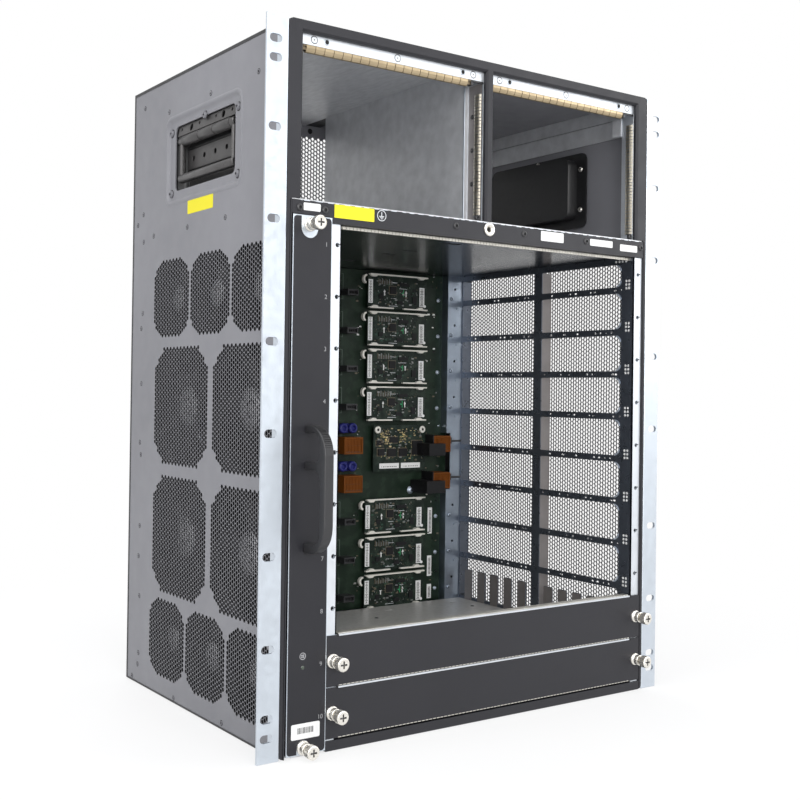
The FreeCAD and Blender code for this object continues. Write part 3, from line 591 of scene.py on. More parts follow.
@dataclass(frozen=True)
class Plated:
    """Zinc or galvanised sheet: rolled grain, spangle and soft reflections."""

    name: str
    colour: Colour
    roughness: float = 0.35
    spangle: float = 0.08
    stretch: Point3 = (1, 1, 1)
    metallic: float = 1.0
    grain: float = 55.0
    relief: float = 0.12
    wear: float = 0.08

    def make(self) -> bpy.types.Material:
        """Returns a new material of the finish."""
        nodes = Nodes(self.name)
        nodes.tint(nodes.noise(self.grain, 6, self.stretch), self.colour,
                   1 - self.spangle, 1 + self.spangle)
        nodes.gloss(nodes.noise(140, 4, self.stretch), self.roughness - self.wear,
                    self.roughness + self.wear)
        nodes.set(Metallic=self.metallic)
        if self.relief:
            nodes.bump(nodes.noise(420, 3, self.stretch), self.relief, 0.0002)
        return nodes.material


@dataclass(frozen=True)
class Moulded:
    """Moulded plastic with a faint texture."""

    name: str
    colour: Colour
    roughness: float = 0.42
    texture: float = 0.15
    specular: float = 0.5

    def make(self) -> bpy.types.Material:
        """Returns a new material of the finish."""
        nodes = Nodes(self.name)
        nodes.tint(nodes.noise(35, 3), self.colour, 0.9, 1.1)
        nodes.gloss(nodes.noise(200), self.roughness - 0.05, self.roughness + 0.08)
        nodes.set(Specular_IOR_Level=self.specular)
        nodes.bump(nodes.noise(1500), self.texture, 0.0001)
        return nodes.material


@dataclass(frozen=True)
class Circuit:
    """Solder mask over traces: runs of copper lines, pads and slight gloss."""

    name: str
    mask: Colour
    trace: Colour
    scale: float = 300.0
    roughness: float = 0.38

    def make(self) -> bpy.types.Material:
        """Returns a new material of the finish."""
        nodes = Nodes(self.name)
        lines = nodes.new("ShaderNodeTexBrick", Scale=self.scale, Mortar_Size=0.03,
                          Brick_Width=1.7, Row_Height=0.21, Color1=(*self.mask, 1),
                          Color2=(*shade(self.mask, 1.35), 1), Mortar=(*self.trace, 1))
        swap = nodes.new("ShaderNodeMapping", Rotation=(math.radians(90), 0, 0))
        nodes.link(nodes.place(), swap.inputs["Vector"])
        nodes.link(swap.outputs["Vector"], lines.inputs["Vector"])
        patch = nodes.noise(90, 3)
        blend = nodes.new("ShaderNodeMix")
        blend.data_type = "RGBA"
        nodes.link(nodes.span(patch, 0, 1, 0.48, 0.56), blend.inputs["Factor"])
        blend.inputs["A"].default_value = (*self.mask, 1)
        nodes.link(lines.outputs["Color"], blend.inputs["B"])
        nodes.link(blend.outputs["Result"], nodes.shader.inputs["Base Color"])
        nodes.gloss(patch, self.roughness - 0.06, self.roughness + 0.1)
        nodes.set(Specular_IOR_Level=0.25)
        nodes.bump(lines.outputs["Fac"], 0.1, 0.0001)
        return nodes.material


@dataclass(frozen=True)
class Sticker:
    """Printed label stock: plain, faintly uneven, with a paper or film sheen."""

    name: str
    colour: Colour
    roughness: float = 0.5

    def make(self) -> bpy.types.Material:
        """Returns a new material of the finish."""
        nodes = Nodes(self.name)
        nodes.tint(nodes.noise(25), self.colour, 0.96, 1)
        nodes.set(Roughness=self.roughness)
        nodes.bump(nodes.noise(600), 0.05, 0.0001)
        return nodes.material


@dataclass(frozen=True)
class Lamp:
    """Dark light-emitting diode lens."""

    name: str
    colour: Colour

    def make(self) -> bpy.types.Material:
        """Returns a new material of the finish."""
        nodes = Nodes(self.name)
        nodes.tint(nodes.noise(400), self.colour, 0.8, 1)
        nodes.set(Roughness=0.2, Coat_Weight=0.6)
        return nodes.material


class Finish(Enum):
    """Every finish of the model. Its material is made when it is first asked for."""

    SIDE = Paint("side_paint", (0.2, 0.2, 0.217), 0.47)
    BLACK = Paint("front_paint", (0.021, 0.021, 0.025), 0.42, specular=0.3)
    OVERLAY = Paint("overlay_film", (0.018, 0.018, 0.022), 0.4, 0.12, specular=0.3)
    EDGE = Paint("dark_edge", (0.02, 0.02, 0.022), 0.5)
    ZINC = Plated("bright_zinc", (0.60, 0.65, 0.71), 0.42, 0.03)
    WHITE_ZINC = Plated("flange_zinc", (0.66, 0.69, 0.73), 0.5, 0.03)
    SHEET = Plated("galvanised", (0.6, 0.61, 0.63), 0.38, 0.1, (1, 0.35, 0.35), 0.5, 240)
    CAGE = Plated("cage_sheet", (0.33, 0.38, 0.45), 0.36, 0.07)
    PALE = Plated("shelf_sheet", (0.60, 0.59, 0.57), 0.42, 0.08, metallic=0.45, grain=260)
    GOLD = Plated("spring_gasket", (0.46, 0.37, 0.24), 0.36, 0.08)
    FRINGE = Plated("side_gasket", (0.42, 0.39, 0.33), 0.36, 0.06)
    CREAM = Plated("conductive_strip", (0.62, 0.60, 0.55), 0.5, 0.06)
    NICKEL = Plated("nickel", (0.82, 0.79, 0.73), 0.28, 0.04, metallic=0.9)
    DARK_SCREW = Paint("black_oxide", (0.03, 0.03, 0.032), 0.35, 0.05)
    PAINT_SCREW = Paint("painted_screw", (0.15, 0.15, 0.165), 0.36, 0.1)
    PIT = Paint("shadow", (0.006, 0.006, 0.007), 0.8, 0.05)
    PLASTIC = Moulded("black_moulding", (0.022, 0.022, 0.024), 0.4)
    FAN = Moulded("fan_moulding", (0.014, 0.014, 0.016), 0.45)
    HUB = Plated("fan_label", (0.5, 0.5, 0.52), 0.5, 0.05, metallic=0.3)
    GRIP_METAL = Plated("handle_bar", (0.10, 0.097, 0.097), 0.34, 0.08, metallic=0.8)
    ROOF = Paint("roof_paint", (0.03, 0.03, 0.033), 0.5)
    GOLD_DARK = Plated("gasket_rail", (0.16, 0.13, 0.09), 0.5, 0.08)
    GRIP = Moulded("handle_coat", (0.012, 0.012, 0.013), 0.38, 0.1)
    # Dark paint of the hinge parts, darker than the side paint: part of its darkness paints the
    # shade inside the handle pocket.
    HINGE = Paint("hinge_paint_shaded", (0.042, 0.040, 0.040), 0.4)
    ORANGE = Moulded("orange_moulding", (0.14, 0.04, 0.004), 0.5, specular=0.15)
    BLUE = Moulded("blue_moulding", (0.014, 0.017, 0.13), 0.4, 0.1, specular=0.3)
    BOARD = Circuit("backplane_board", (0.008, 0.017, 0.010), (0.02, 0.036, 0.022))
    CARD = Circuit("card_board", (0.007, 0.014, 0.010), (0.045, 0.062, 0.045), 700)
    CHIP = Moulded("chip_body", (0.008, 0.008, 0.009), 0.5, specular=0.25)
    SOLDER = Plated("solder", (0.72, 0.72, 0.70), 0.3)
    COPPER = Plated("gold_pads", (0.80, 0.66, 0.36), 0.3)
    WHITE = Sticker("white_label", (0.76, 0.76, 0.75))
    YELLOW = Sticker("yellow_label", (0.78, 0.69, 0.008))
    INK = Sticker("label_ink", (0.03, 0.03, 0.03))
    PRINT = Sticker("pale_print", (0.62, 0.64, 0.66))
    LENS = Lamp("status_lens", (0.05, 0.07, 0.05))
    # Cage zinc darkened to paint the shade and dark reflections on the cage walls and the rear web.
    CAGE_SHADED = Plated("cage_wall_sheet", (0.12, 0.135, 0.165), 0.32, 0.1, metallic=0.75)
    # Bright bluish zinc that paints highlights on the cage's bent lips and slot edges; the board
    # screws take it too.
    LIP = Plated("lit_zinc", (0.72, 0.80, 0.92), 0.35, 0.04, metallic=0.7)
    SPACER = Plated("spacer_sheet", (0.26, 0.24, 0.235), 0.5, 0.06, metallic=0.5)
    CEILING = Plated("ceiling_sheet", (0.33, 0.335, 0.345), 0.24, 0.03, grain=9, relief=0,
                     wear=0.03)
    IVORY = Sticker("ivory_moulding", (0.68, 0.66, 0.60))
    TAN_PART = Moulded("tan_part", (0.10, 0.085, 0.058), 0.45)
    BROWN_PART = Moulded("brown_part", (0.05, 0.02, 0.008), 0.5)
    GREEN_PART = Lamp("green_part", (0.05, 0.42, 0.16))
    DARK_GREEN = Moulded("green_moulding", (0.012, 0.05, 0.03), 0.45)
    DIM_SOLDER = Plated("dim_solder", (0.30, 0.31, 0.30), 0.4)
    SILK = Sticker("silk_print", (0.10, 0.13, 0.11))
    DIM_PRINT = Sticker("dim_print", (0.30, 0.30, 0.31))
    # Dark grey that paints the shade at the bottom of the captive screws' cross recess.
    RECESS_SHADE = Paint("screw_recess_shade", (0.10, 0.10, 0.10), 0.5, 0.05)

    @cache
    def material(self) -> bpy.types.Material:
        """Returns the finish's material."""
        return self.value.make()


# --- Outer skin ---
@dataclass
class SidePart:
    """What the pieces of one painted side share."""

    side: Side
    pocket: Limits = (-62.0, 62.0, 503.0, 567.0)

    def level(self, depth: float) -> float:
        """Returns the X of a depth below the panel's outer face."""
        return self.side.value * (HALF - depth)


@dataclass
class SidePanel(SidePart):
    """One painted side with its perforated fields, screws and sunk handle patch."""

    front: float = -153.0
    rear: float = 156.8
    top: float = 617.3
    pad: Limits = (-76.0, 76.0, 492.0, 575.0)
    pad_corner: float = 9.0
    sink: float = 2.5
    hole_pitch: float = 4.35
    hole_across: float = 3.75
    intake: Limits = (-143.0, 123.0, 46.0, 458.0)
    bead: tuple[Point2, ...] = ((-3.4, 0.02), (-2.6, -0.45), (-1.5, -0.8), (-0.4, -0.6),
                                (0.7, 0.2), (1.8, 1.3), (2.8, 2.1), (4.2, 2.5))
    screws: tuple[Point2, ...] = (
        (131.3, 599.4), (72.5, 584.0), (-17.4, 584.0), (-107.5, 584.0), (132.0, 488.2),
        (145.5, 478.4), (105.9, 463.1), (130.9, 459.4), (28.3, 463.7), (-49.5, 463.9),
        (130.4, 384.9), (133.4, 369.0), (131.2, 311.6), (132.5, 250.2), (129.7, 237.4),
        (130.0, 163.5), (131.6, 131.9), (128.3, 90.8), (128.6, 31.6), (130.2, 19.6),
        (143.8, 4.7), (43.5, 4.4), (-56.3, 5.9))
    screw_size: Limits = (2.1, 0.5, 1.15, 0.5)
    pad_screws: tuple[Point2, ...] = (
        (-67.6, 562.0), (69.4, 562.0), (-67.6, 501.2), (69.4, 501.2), (-1.7, 567.2))
    pad_screw_size: Limits = (3.6, 2.2, 1.4, 0.7)
    sticker: Limits = (-25.0, 28.0, 476.0, 490.5)

    def fields(self) -> list[Loop]:
        """Returns the perforated fields: one for each fan, or the air intake."""
        if self.side is Side.RIGHT:
            return [octagon(*self.intake, 6)]
        places = [(y, z, 39.8, 14) for z in (397, 58) for y in (-103.5, -20.6, 62.3)]
        places += [(y, z, 59.8, 22) for z in (289.8, 161.9) for y in (-88.3, 38.9)]
        return [octagon(y - half, y + half, z - half, z + half, corner)
                for y, z, half, corner in places]

    def skin(self) -> None:
        """Builds the perforated sheet."""
        shape = Shape(f"side_skin_{self.side.word}")
        holes = [rounded(*self.pad, self.pad_corner)]
        for outline in self.fields():
            holes += perforation(outline, self.hole_pitch, self.hole_across)
        shape.sheet(rectangle(self.front, self.rear, 0, self.top), holes, YZ, self.level(0),
                    self.level(GAUGE), hole_slot=1)
        shape.build(Finish.SIDE, Finish.PIT, node=f"{self.side.word}_side_panel")

    def patch(self) -> None:
        """Builds the sunk patch round the handle, with its pressed edge."""
        shape = Shape(f"handle_patch_{self.side.word}")
        y0, y1, z0, z1 = self.pad
        loops = [(rounded(y0 + inset, y1 - inset, z0 + inset, z1 - inset,
                          self.pad_corner - inset * 0.7), depth) for inset, depth in self.bead]
        for (first, a), (second, b) in zip(loops, loops[1:]):
            for under in (0, GAUGE):
                shape.wall(first, YZ, self.level(a + under), self.level(b + under), second, True)
        shape.sheet(loops[-1][0], [rounded(*self.pocket, 6)], YZ, self.level(self.sink),
                    self.level(self.sink + GAUGE), False)
        shape.build(Finish.SIDE)

    def trims(self) -> None:
        """Builds the dark folded edges along the roof, the rear and the base."""
        shape = Shape(f"side_edges_{self.side.word}")
        x0, x1 = sorted((self.level(-0.35), self.level(0.05)))
        shape.box(x0, x1, self.front, 157.9, 615.3, 618.4)
        shape.box(x0, x1, 155.2, 157.9, 0.4, 615.3)
        shape.box(x0, x1, self.front, 155.2, 0.1, 1.9)
        shape.build(Finish.EDGE, bevel=0.25)

    def build(self) -> None:
        """Builds the whole side; only the left one has the bare yellow sticker."""
        word, out = self.side.word, self.side.value
        self.skin()
        self.patch()
        screw_set(f"side_screws_{word}", YZ, self.screws, self.level(0), out, self.screw_size,
                  Finish.PAINT_SCREW)
        screw_set(f"patch_screws_{word}", YZ, self.pad_screws, self.level(self.sink), out,
                  self.pad_screw_size, Finish.PAINT_SCREW)
        self.trims()
        if self.side is Side.LEFT:
            shape = Shape("side_sticker")
            shape.prism(rounded(*self.sticker, 1, 3), YZ, self.level(0), self.level(-0.18))
            shape.build(Finish.YELLOW)


@dataclass
class LiftingHandle(SidePart):
    """Folding handle, its hinge plate and the box it lies in."""

    depth: float = 18.5
    hinge_depth: float = 6.6
    hinge_height: float = 552.0
    drop: float = 37.0
    radius: float = 4.5
    pin_radius: float = 2.5
    half_width: float = 56.0
    studs: tuple[Point2, ...] = ((-69.0, 557.0), (-69.0, 512.0), (69.0, 557.0), (69.0, 512.0),
                                 (-1.7, 571.5))

    def tray(self) -> None:
        """Builds the box behind the patch with its flange and rivets."""
        word = self.side.word
        shape = Shape(f"handle_box_{word}")
        y0, y1, z0, z1 = self.pocket
        inner = rounded(y0, y1, z0, z1, 6)
        outer = rounded(y0 - GAUGE, y1 + GAUGE, z0 - GAUGE, z1 + GAUGE, 6 + GAUGE)
        flange = rounded(y0 - 15.2, y1 + 15.2, z0 - 11.2, z1 + 8, 8)
        mouth, deep = self.level(5.6), self.level(self.depth)
        shape.sheet(flange, [inner], YZ, self.level(3.75), mouth)
        shape.wall(inner, YZ, mouth, deep, smooth=True)
        shape.wall(outer, YZ, mouth, self.level(self.depth + GAUGE), smooth=True)
        shape.prism(inner, YZ, deep, self.level(self.depth + 0.3))
        shape.prism(outer, YZ, self.level(self.depth + 0.9), self.level(self.depth + GAUGE))
        shape.build(Finish.GRIP, node=f"handle_tray_{word}")
        screw_set(f"handle_box_studs_{word}", YZ, self.studs, mouth, -self.side.value,
                  (3, 1.6, 1.2, 0), Finish.NICKEL)

    def plates(self) -> None:
        """Builds the sloped hinge plate with its holes and the row plate behind the grip."""
        word = self.side.word
        shape = Shape(f"hinge_plate_{word}")
        low, high = self.hinge_height + 5, self.pocket[3] - 0.4
        holes = [ring(y, (low + high) / 2 + 1.2, 1.7, 12, 0.5) for y in (-52, -20, 14, 52)]
        holes += [rounded(y - 3.3, y + 3.3, low + 1.4, high - 1.2, 3.2, 4) for y in (-35, 31)]
        shape.sheet(rectangle(-59, 59, low, high), holes, YZ, self.level(3.4), self.level(4.4))

        def slope(work: bmesh.types.BMesh) -> None:
            """Leans the plate inward towards the roof."""
            for vertex in work.verts:
                rise = (vertex.co.z / MM - low) / (high - low)
                vertex.co.x -= self.side.value * MM * (0.2 + 1.3 * rise)

        # The hinge plate takes the darkened hinge paint, which partly paints the pocket's shade.
        shape.build(Finish.HINGE, ahead=slope)
        row = Shape(f"row_plate_{word}")
        holes = [ring(y, 534.5, 2.6, 14) for y in spread(5, 23, -2)]
        row.sheet(rectangle(-56, 56, 524.5, 544), holes, YZ, self.level(13.4), self.level(14.6))
        for low_z, high_z, depth in ((520.6, 523.4, 15.2), (505, 519.6, 16.6)):
            row.prism(rectangle(-56, 56, low_z, high_z), YZ, self.level(depth),
                      self.level(18.4))
        row.build(Finish.HINGE, bevel=0.3)
        for name, low_z, high_z, depth in (("upper", 544.4, 546, 12.8),
                                           ("lower", 523.6, 524.2, 13)):
            lip = Shape(f"row_lip_{name}_{word}")
            lip.prism(rectangle(-56, 56, low_z, high_z), YZ, self.level(depth),
                      self.level(18.4))
            lip.build(Finish.GRIP, bevel=0.2)

    def bail(self) -> None:
        """Builds the swinging part: hinge tube, two arms, the grip and its sleeve."""
        body = f"lift_handle_{self.side.word}"
        x, high = self.level(self.hinge_depth), self.hinge_height
        low, r, half = high - self.drop, self.radius, self.half_width
        shape = Shape(f"bail_{self.side.word}")
        for z in (high, low):
            shape.lathe(((r - 1.2, -half - 0.2), (r - 0.3, -half), (r, -half + 0.8),
                         (r, half - 0.8), (r - 0.3, half), (r - 1.2, half + 0.2)), XZ, x, z)
        for end in (-1, 1):
            y = end * (half - 2.6)
            shape.prism(rounded(x - 3.1, x + 3.1, y - 2.4, y + 2.4, 2.2, 4), XY, low, high)
        for y0, y1 in ((-63, -half), (half, 63)):
            shape.lathe(((self.pin_radius, y0), (self.pin_radius, y1)), XZ, x, high, 16)
        shape.build(Finish.GRIP_METAL, body=body, node=body)
        sleeve = Shape(f"bail_sleeve_{self.side.word}")
        for y0, y1 in ((-49, -16.5), (-15.5, 13.5), (14.5, 49)):
            sleeve.lathe(((r + 0.35, y0), (r + 0.7, y0 + 0.5), (r + 0.7, y1 - 0.5),
                          (r + 0.35, y1)), XZ, x, high)
        sleeve.build(Finish.HINGE, body=body)

    def build(self) -> None:
        """Builds the handle and what holds it."""
        self.tray()
        self.plates()
        self.bail()


@dataclass
class RoofAndRear:
    """Roof sheet, rear sheet with its exhaust field, and the base."""

    exhaust: Limits = (-206.0, 206.0, 500.0, 606.0)
    seat: float = 3.2
    screw_size: Limits = (2.7, 0.7, 1.1, 0.6)
    flange: tuple[Point2, ...] = (
        (217.0, 582.5), (217.0, 600.7), (218.8, 602.5), (218.8, 617.3), (217.6, 617.3),
        (217.6, 603.0), (215.8, 601.2), (215.8, 582.5))

    def rear(self) -> None:
        """Builds the perforated rear sheet with its countersunk screws."""
        shape = Shape("rear_sheet")
        screws = [(x, z) for x in (-213, 213) for z in spread(8, 82, 309)]
        screws += [(x, z) for x in spread(5, 98) for z in (8, 470, 611)]
        holes = [ring(x, z, self.seat) for x, z in screws]
        holes += perforation(octagon(*self.exhaust, 4), 4.7, 3.7)
        shape.sheet(rectangle(-HALF, HALF, 0, TOP), holes, XZ, 156.8, 158, hole_slot=1)
        shape.build(Finish.SIDE, Finish.PIT, node="rear_panel")
        screw_set("rear_screws", XZ, screws, 157.2, 1, self.screw_size, Finish.PAINT_SCREW)

    def roof(self) -> None:
        """Builds the roof with its stepped side flanges and its countersunk screws."""
        shape = Shape("roof_sheet")
        screws = [(x, y) for x in (-208, -70, 70, 208) for y in (-140, 0, 144)]
        shape.sheet(rectangle(-HALF, HALF, -153, 156.8),
                    [ring(x, y, self.seat) for x, y in screws], XY, 617.3, TOP)
        shape.slot = 1
        for side in (-1, 1):
            shape.prism([(side * x, z) for x, z in self.flange], XZ, -137, 156.8)
        shape.build(Finish.ROOF, Finish.SHEET, node="top_panel")
        screw_set("roof_screws", XY, screws, 617.7, 1, self.screw_size, Finish.PAINT_SCREW)

    def build(self) -> None:
        """Builds roof, rear and base."""
        self.rear()
        self.roof()
        soft_copy("base_panel", "base_sheet", Finish.SHEET, 0.2, 1)


# --- Front frame, beam and ears ---
@dataclass
class FrontFrame:
    """Painted front frame, middle beam, their screws, labels and the socket."""

    beam_screws: tuple[float, ...] = (-207.4, -182.2, -38.0, 47.1, 131.2, 212.0)
    screw_height: float = 460.5
    beam: Point2 = (-214.8, 215.5)
    beam_top: float = 467.05
    labels: tuple[Limits, ...] = ((-203.6, -186.6, 458.6, 465.0), (69.2, 99.8, 456.0, 465.6),
                                  (136.9, 169.6, 456.9, 463.6), (180.7, 206.4, 454.9, 461.8))
    yellow: Limits = (-172.5, -130.7, 455.2, 466.6)
    earth: Point2 = (-122.6, 461.6)
    socket: Point2 = (2.4, 460.8)

    def stickers(self) -> None:
        """Builds the bare stickers of the beam and the earth sign."""
        shape = Shape("beam_stickers")
        for area in self.labels:
            shape.prism(rounded(*area, 0.9, 3), XZ, FACE - 0.14, FACE)
        shape.build(Finish.WHITE)
        shape = Shape("beam_yellow_sticker")
        shape.prism(rounded(*self.yellow, 0.6, 3), XZ, FACE - 0.16, FACE)
        shape.build(Finish.YELLOW)
        shape = Shape("earth_sign")
        (x, z), near = self.earth, FACE - 0.12
        shape.hoop(x, z, 4.9, 4.25, XZ, near, FACE, 28)
        shape.box(x - 0.35, x + 0.35, near, FACE, z - 0.4, z + 3.1)
        for drop, reach in ((0.4, 2.7), (1.5, 1.8), (2.6, 0.9)):
            shape.box(x - reach, x + reach, near, FACE, z - drop - 0.6, z - drop)
        shape.build(Finish.PRINT)

    def strap_socket(self) -> None:
        """Builds the ringed wrist-strap socket."""
        shape = Shape("strap_socket")
        shape.lathe(((6.4, 0), (6.4, -0.9), (5.9, -1.4), (4.3, -1.4), (3.7, -0.7), (2.9, -0.5),
                     (2.6, -0.2), (2.6, 7), (4.2, 7), (4.2, 0)), XZ, *self.socket, 32, False,
                    FACE)
        shape.slot = 1
        shape.prism(ring(*self.socket, 2.6, 20), XZ, FACE + 4, FACE + 4.2)
        shape.build(Finish.NICKEL, Finish.PIT, node="ground_socket")

    def worn_edge(self) -> None:
        """Builds the bright worn line where the paint ends along the beam's upper edge."""
        shape = Shape("beam_worn_edge")
        x, step = self.beam[0] + 8, 0
        while x < self.beam[1] - 12:
            length = 2.2 + 3.4 * abs(math.sin(step * 2.3)) + 1.6 * abs(math.sin(step * 0.7))
            rise = 0.3 + 0.2 * abs(math.sin(step * 1.7))
            shape.box(x, x + length, FACE - 0.05, FACE + 0.6, self.beam_top - rise,
                      self.beam_top)
            x += length + 1.5 + 4.7 * abs(math.sin(step * 1.1))
            step += 1
        shape.build(Finish.ZINC)

    def build(self) -> None:
        """Builds the frame and all it carries."""
        soft_copy("front_frame", "frame_casting", Finish.BLACK, 0.9, 3)
        soft_copy("mid_beam", "beam_cover", Finish.BLACK, 0.35, 2)
        screw_set("beam_screws", XZ, [(x, self.screw_height) for x in self.beam_screws], FACE,
                  -1, (3.2, 1.35, 1.5, 0), Finish.DARK_SCREW, "chassis_screws")
        self.stickers()
        self.strap_socket()
        self.worn_edge()


@dataclass
class RackEar(SidePart):
    """Zinc rack bracket with round-ended slots and countersunk screws."""

    reach: float = 241.3
    gauge: float = 2.5
    flange: float = 15.0
    bend: float = 1.1
    slot_inset: float = 8.75
    slot_ends: tuple[float, ...] = (271.15, 169.55, 93.35, 36.2, 20.25)

    def build(self) -> None:
        """Builds the bracket, its bend and its screws."""
        word, bend, gauge = self.side.word, self.bend, self.gauge
        shape = Shape(f"ear_plate_{word}")
        x = self.reach - self.slot_inset
        slots = [rounded(x - 6, x + 6, z - 3.5, z + 3.5, 3.49, 8)
                 for end in self.slot_ends for z in (end, TOP - end)]
        edge = rectangle(HALF + bend, self.reach - 0.25, 0.25, TOP - 0.25)
        rim = rectangle(HALF + bend, self.reach, 0, TOP)
        shape.sheet(edge, slots, XZ, FACE, FACE + gauge)
        shape.wall(edge, XZ, FACE, FACE + 0.25, rim)
        shape.wall(rim, XZ, FACE + 0.25, FACE + gauge - 0.2)
        outline = [(HALF + bend - bend * math.sin(a), FACE + bend - bend * math.cos(a))
                   for a in (0, 0.4, 0.8, 1.2)]
        outline += [(HALF, FACE + bend), (HALF, FACE + self.flange),
                    (HALF + gauge, FACE + self.flange), (HALF + gauge, FACE + gauge),
                    (HALF + bend, FACE + gauge)]
        shape.prism(outline, XY, 0, TOP)
        if self.side is Side.LEFT:
            shape.points = [(-x, y, z) for x, y, z in shape.points]
        shape.build(Finish.ZINC, node=f"rack_ear_{word}")
        screw_set(f"ear_screws_{word}", YZ, [(FACE + 9.5, z) for z in spread(6, 104, TOP / 2)],
                  self.level(-gauge), self.side.value, (2.9, 0.6, 1.2, 0), Finish.ZINC)


# --- Power-supply bays ---
def gasket_fingers(shape: Shape, plane: Plane, u: float, v: float, width: float, bow: float,
                   start: float, end: float, pitch: float, thick: float = 0.35) -> None:
    """Adds a row of bowed spring fingers along a run.

    Args:
        shape: Shape that gets the fingers.
        plane: Plane of the section; the run goes along its normal.
        u, v: Start of the section.
        width: Width of the section along u.
        bow: How far it bows along v.
        start, end: Run of the strip.
        pitch: Distance between fingers.
        thick: Sheet thickness.
    """
    gap, angles = 0.6, [math.pi * k / 8 for k in range(9)]
    outer = [(u + width / 2 * (1 - math.cos(a)), v + bow * math.sin(a)) for a in angles]
    shrink = 1 - 2 * thick / width
    inner = [(u + width / 2 + (a - u - width / 2) * shrink, v + (b - v) * 0.88)
             for a, b in reversed(outer)]
    count = int((end - start) / pitch)
    first = start + (end - start - count * pitch + gap) / 2
    for index in range(count):
        low = first + index * pitch
        shape.prism(outer + inner, plane, low, low + pitch - gap)


@dataclass
class PowerBays:
    """Zinc flanges, spring gaskets, divider and fittings of the two bays."""

    bays: tuple[Point2, ...] = ((-205.3, -2.2), (7.0, 204.7))
    face: float = -153.0
    under: float = 600.0
    rivets: tuple[float, ...] = (-192.1, -103.75, -15.4, 17.6, 105.85, 194.1)
    rivet_height: float = 605.0
    holes: tuple[float, ...] = (-179.35, -28.15, 30.25, 181.45)
    hole_height: float = 605.3
    gasket_pitch: float = 9.4
    fringe: Point2 = (474.6, 590.0)
    fringe_pitch: float = 3.2
    fringe_insets: Point2 = (8.0, 5.6)
    divider: Point2 = (468.4, 599.8)
    liner: Limits = (-135.5, 156.2, 616.7, 617.2)

    def flanges(self) -> None:
        """Dresses the white zinc flanges and builds their rivets and threaded holes."""
        for side in Side:
            soft_copy(f"psu_flange_{side.word}", f"bay_flange_{side.word}", Finish.WHITE_ZINC,
                      0.15, 1)
        shape = Shape("flange_rivets")
        y = self.face
        for x in self.rivets:
            shape.slot = 0
            shape.lathe(((2.9, 0), (2.9, -0.12), (2.5, -0.16), (2.35, -0.05)), XZ, x,
                        self.rivet_height, 20, base=y)
            # The dark hoop round each head paints its shadow on the flange, and the dark dot paints
            # the shade in its hollow middle.
            shape.slot = 1
            shape.hoop(x, self.rivet_height, 3.5, 2.85, XZ, y - 0.06, y, 24)
            shape.prism(ring(x, self.rivet_height, 0.6, 8), XZ, y - 0.22, y - 0.1)
        shape.build(Finish.WHITE_ZINC, Finish.DARK_SCREW)
        shape = Shape("flange_threads")
        for x in self.holes:
            shape.slot = 0
            shape.lathe(((2.9, 1.3), (2.9, -0.3), (2.2, -0.5), (1.7, -0.2), (1.5, 2.4)), XZ, x,
                        self.hole_height, 20, False, y)
            shape.slot = 1
            shape.prism(ring(x, self.hole_height, 2, 14), XZ, y - 0.48, y - 0.3)
        shape.build(Finish.ZINC, Finish.PIT)

    def top_gaskets(self) -> None:
        """Builds the spring gaskets above the bays, their rails and their ends."""
        top, rail = Shape("bay_top_gaskets"), Shape("bay_gasket_rails")
        ends = Shape("bay_gasket_ends")
        y, z = self.face, self.under
        for x0, x1 in self.bays:
            start, end = x0 + 2.2, x1 - 15
            gasket_fingers(top, YZ, y + 0.4, z - 0.05, 6.8, -6.2, start, end,
                           self.gasket_pitch)
            rail.box(start, end, y + 0.6, y + 6.4, z - 1.4, z - 0.2)
            rail.box(start, end, y + 1.6, y + 6, z - 4.4, z - 1.4)
            ends.box(x0 + 0.1, start, y + 0.5, y + 5.8, z - 5.6, z - 0.1)
            ends.box(end, end + 2, y + 0.5, y + 5.8, z - 5, z - 0.1)
            ends.box(end + 2, x1 + 1.4, y + 0.2, y + 1.8, z - 1.6, z - 0.1)
        rail.build(Finish.GOLD_DARK)
        ends.build(Finish.PLASTIC)
        top.build(Finish.GOLD, node="gasket_strips")

    def side_gaskets(self) -> None:
        """Builds the upright spring strips at the right of each bay."""
        strips = Shape("bay_side_gaskets")
        for (_, x), inset in zip(self.bays, self.fringe_insets):
            y, count = FACE + inset, len(strips.points)
            gasket_fingers(strips, XY, 0, 0, 9.5, -2.4, *self.fringe, self.fringe_pitch, 0.3)
            strips.points[count:] = [(x + b, y + a, z) for a, b, z in strips.points[count:]]
            back = Shape(f"bay_side_rail_{round(x)}")
            back.box(x - 0.5, x - 0.05, y + 0.5, y + 9, self.fringe[0] - 0.2,
                     self.fringe[1] + 0.2)
            back.build(Finish.CAGE)
            foot = Shape(f"bay_side_stop_{round(x)}")
            foot.lathe(((2.7, 1.5), (2.7, -1), (2, -1.6), (1.4, -1.6), (1.4, 0.5)), XZ,
                       x - 3.4, 471.6, 16, base=y)
            foot.build(Finish.PLASTIC)
        strips.build(Finish.FRINGE)

    def middle(self) -> None:
        """Dresses the divider and builds the screws of its front flange, thin bright zinc strips
        that paint the highlights on its bends, and a darker sheet that paints the shade on the
        flange's face.
        """
        soft_copy("divider_wall", "divider_sheet", Finish.SHEET, 0.3, 2)
        screw_set("divider_screws", YZ, [(-137.3, z) for z in (506, 538, 570)], -2.2, -1,
                  (2.4, 0.9, 0.9, 0), Finish.DARK_SCREW)
        # Thin bright zinc strips at the joggle and the front corner paint the highlights on the
        # bends.
        edge = Shape("divider_bend_highlights")
        edge.prism(rounded(-7.6, -6.3, -131.9, -129.6, 0.5, 3), XY, *self.divider)
        edge.prism(rounded(-2.35, -2.25, -152.6, -151, 0.04, 2), XY, *self.divider)
        edge.build(Finish.ZINC)
        # A darker sheet over the flange's face paints the shade that falls on the recessed flange.
        cover = Shape("divider_flange_shade")
        cover.box(-2.42, -2.25, -150.8, -132.2, self.divider[0] + 0.2, self.divider[1] - 0.2)
        cover.build(Finish.SPACER)

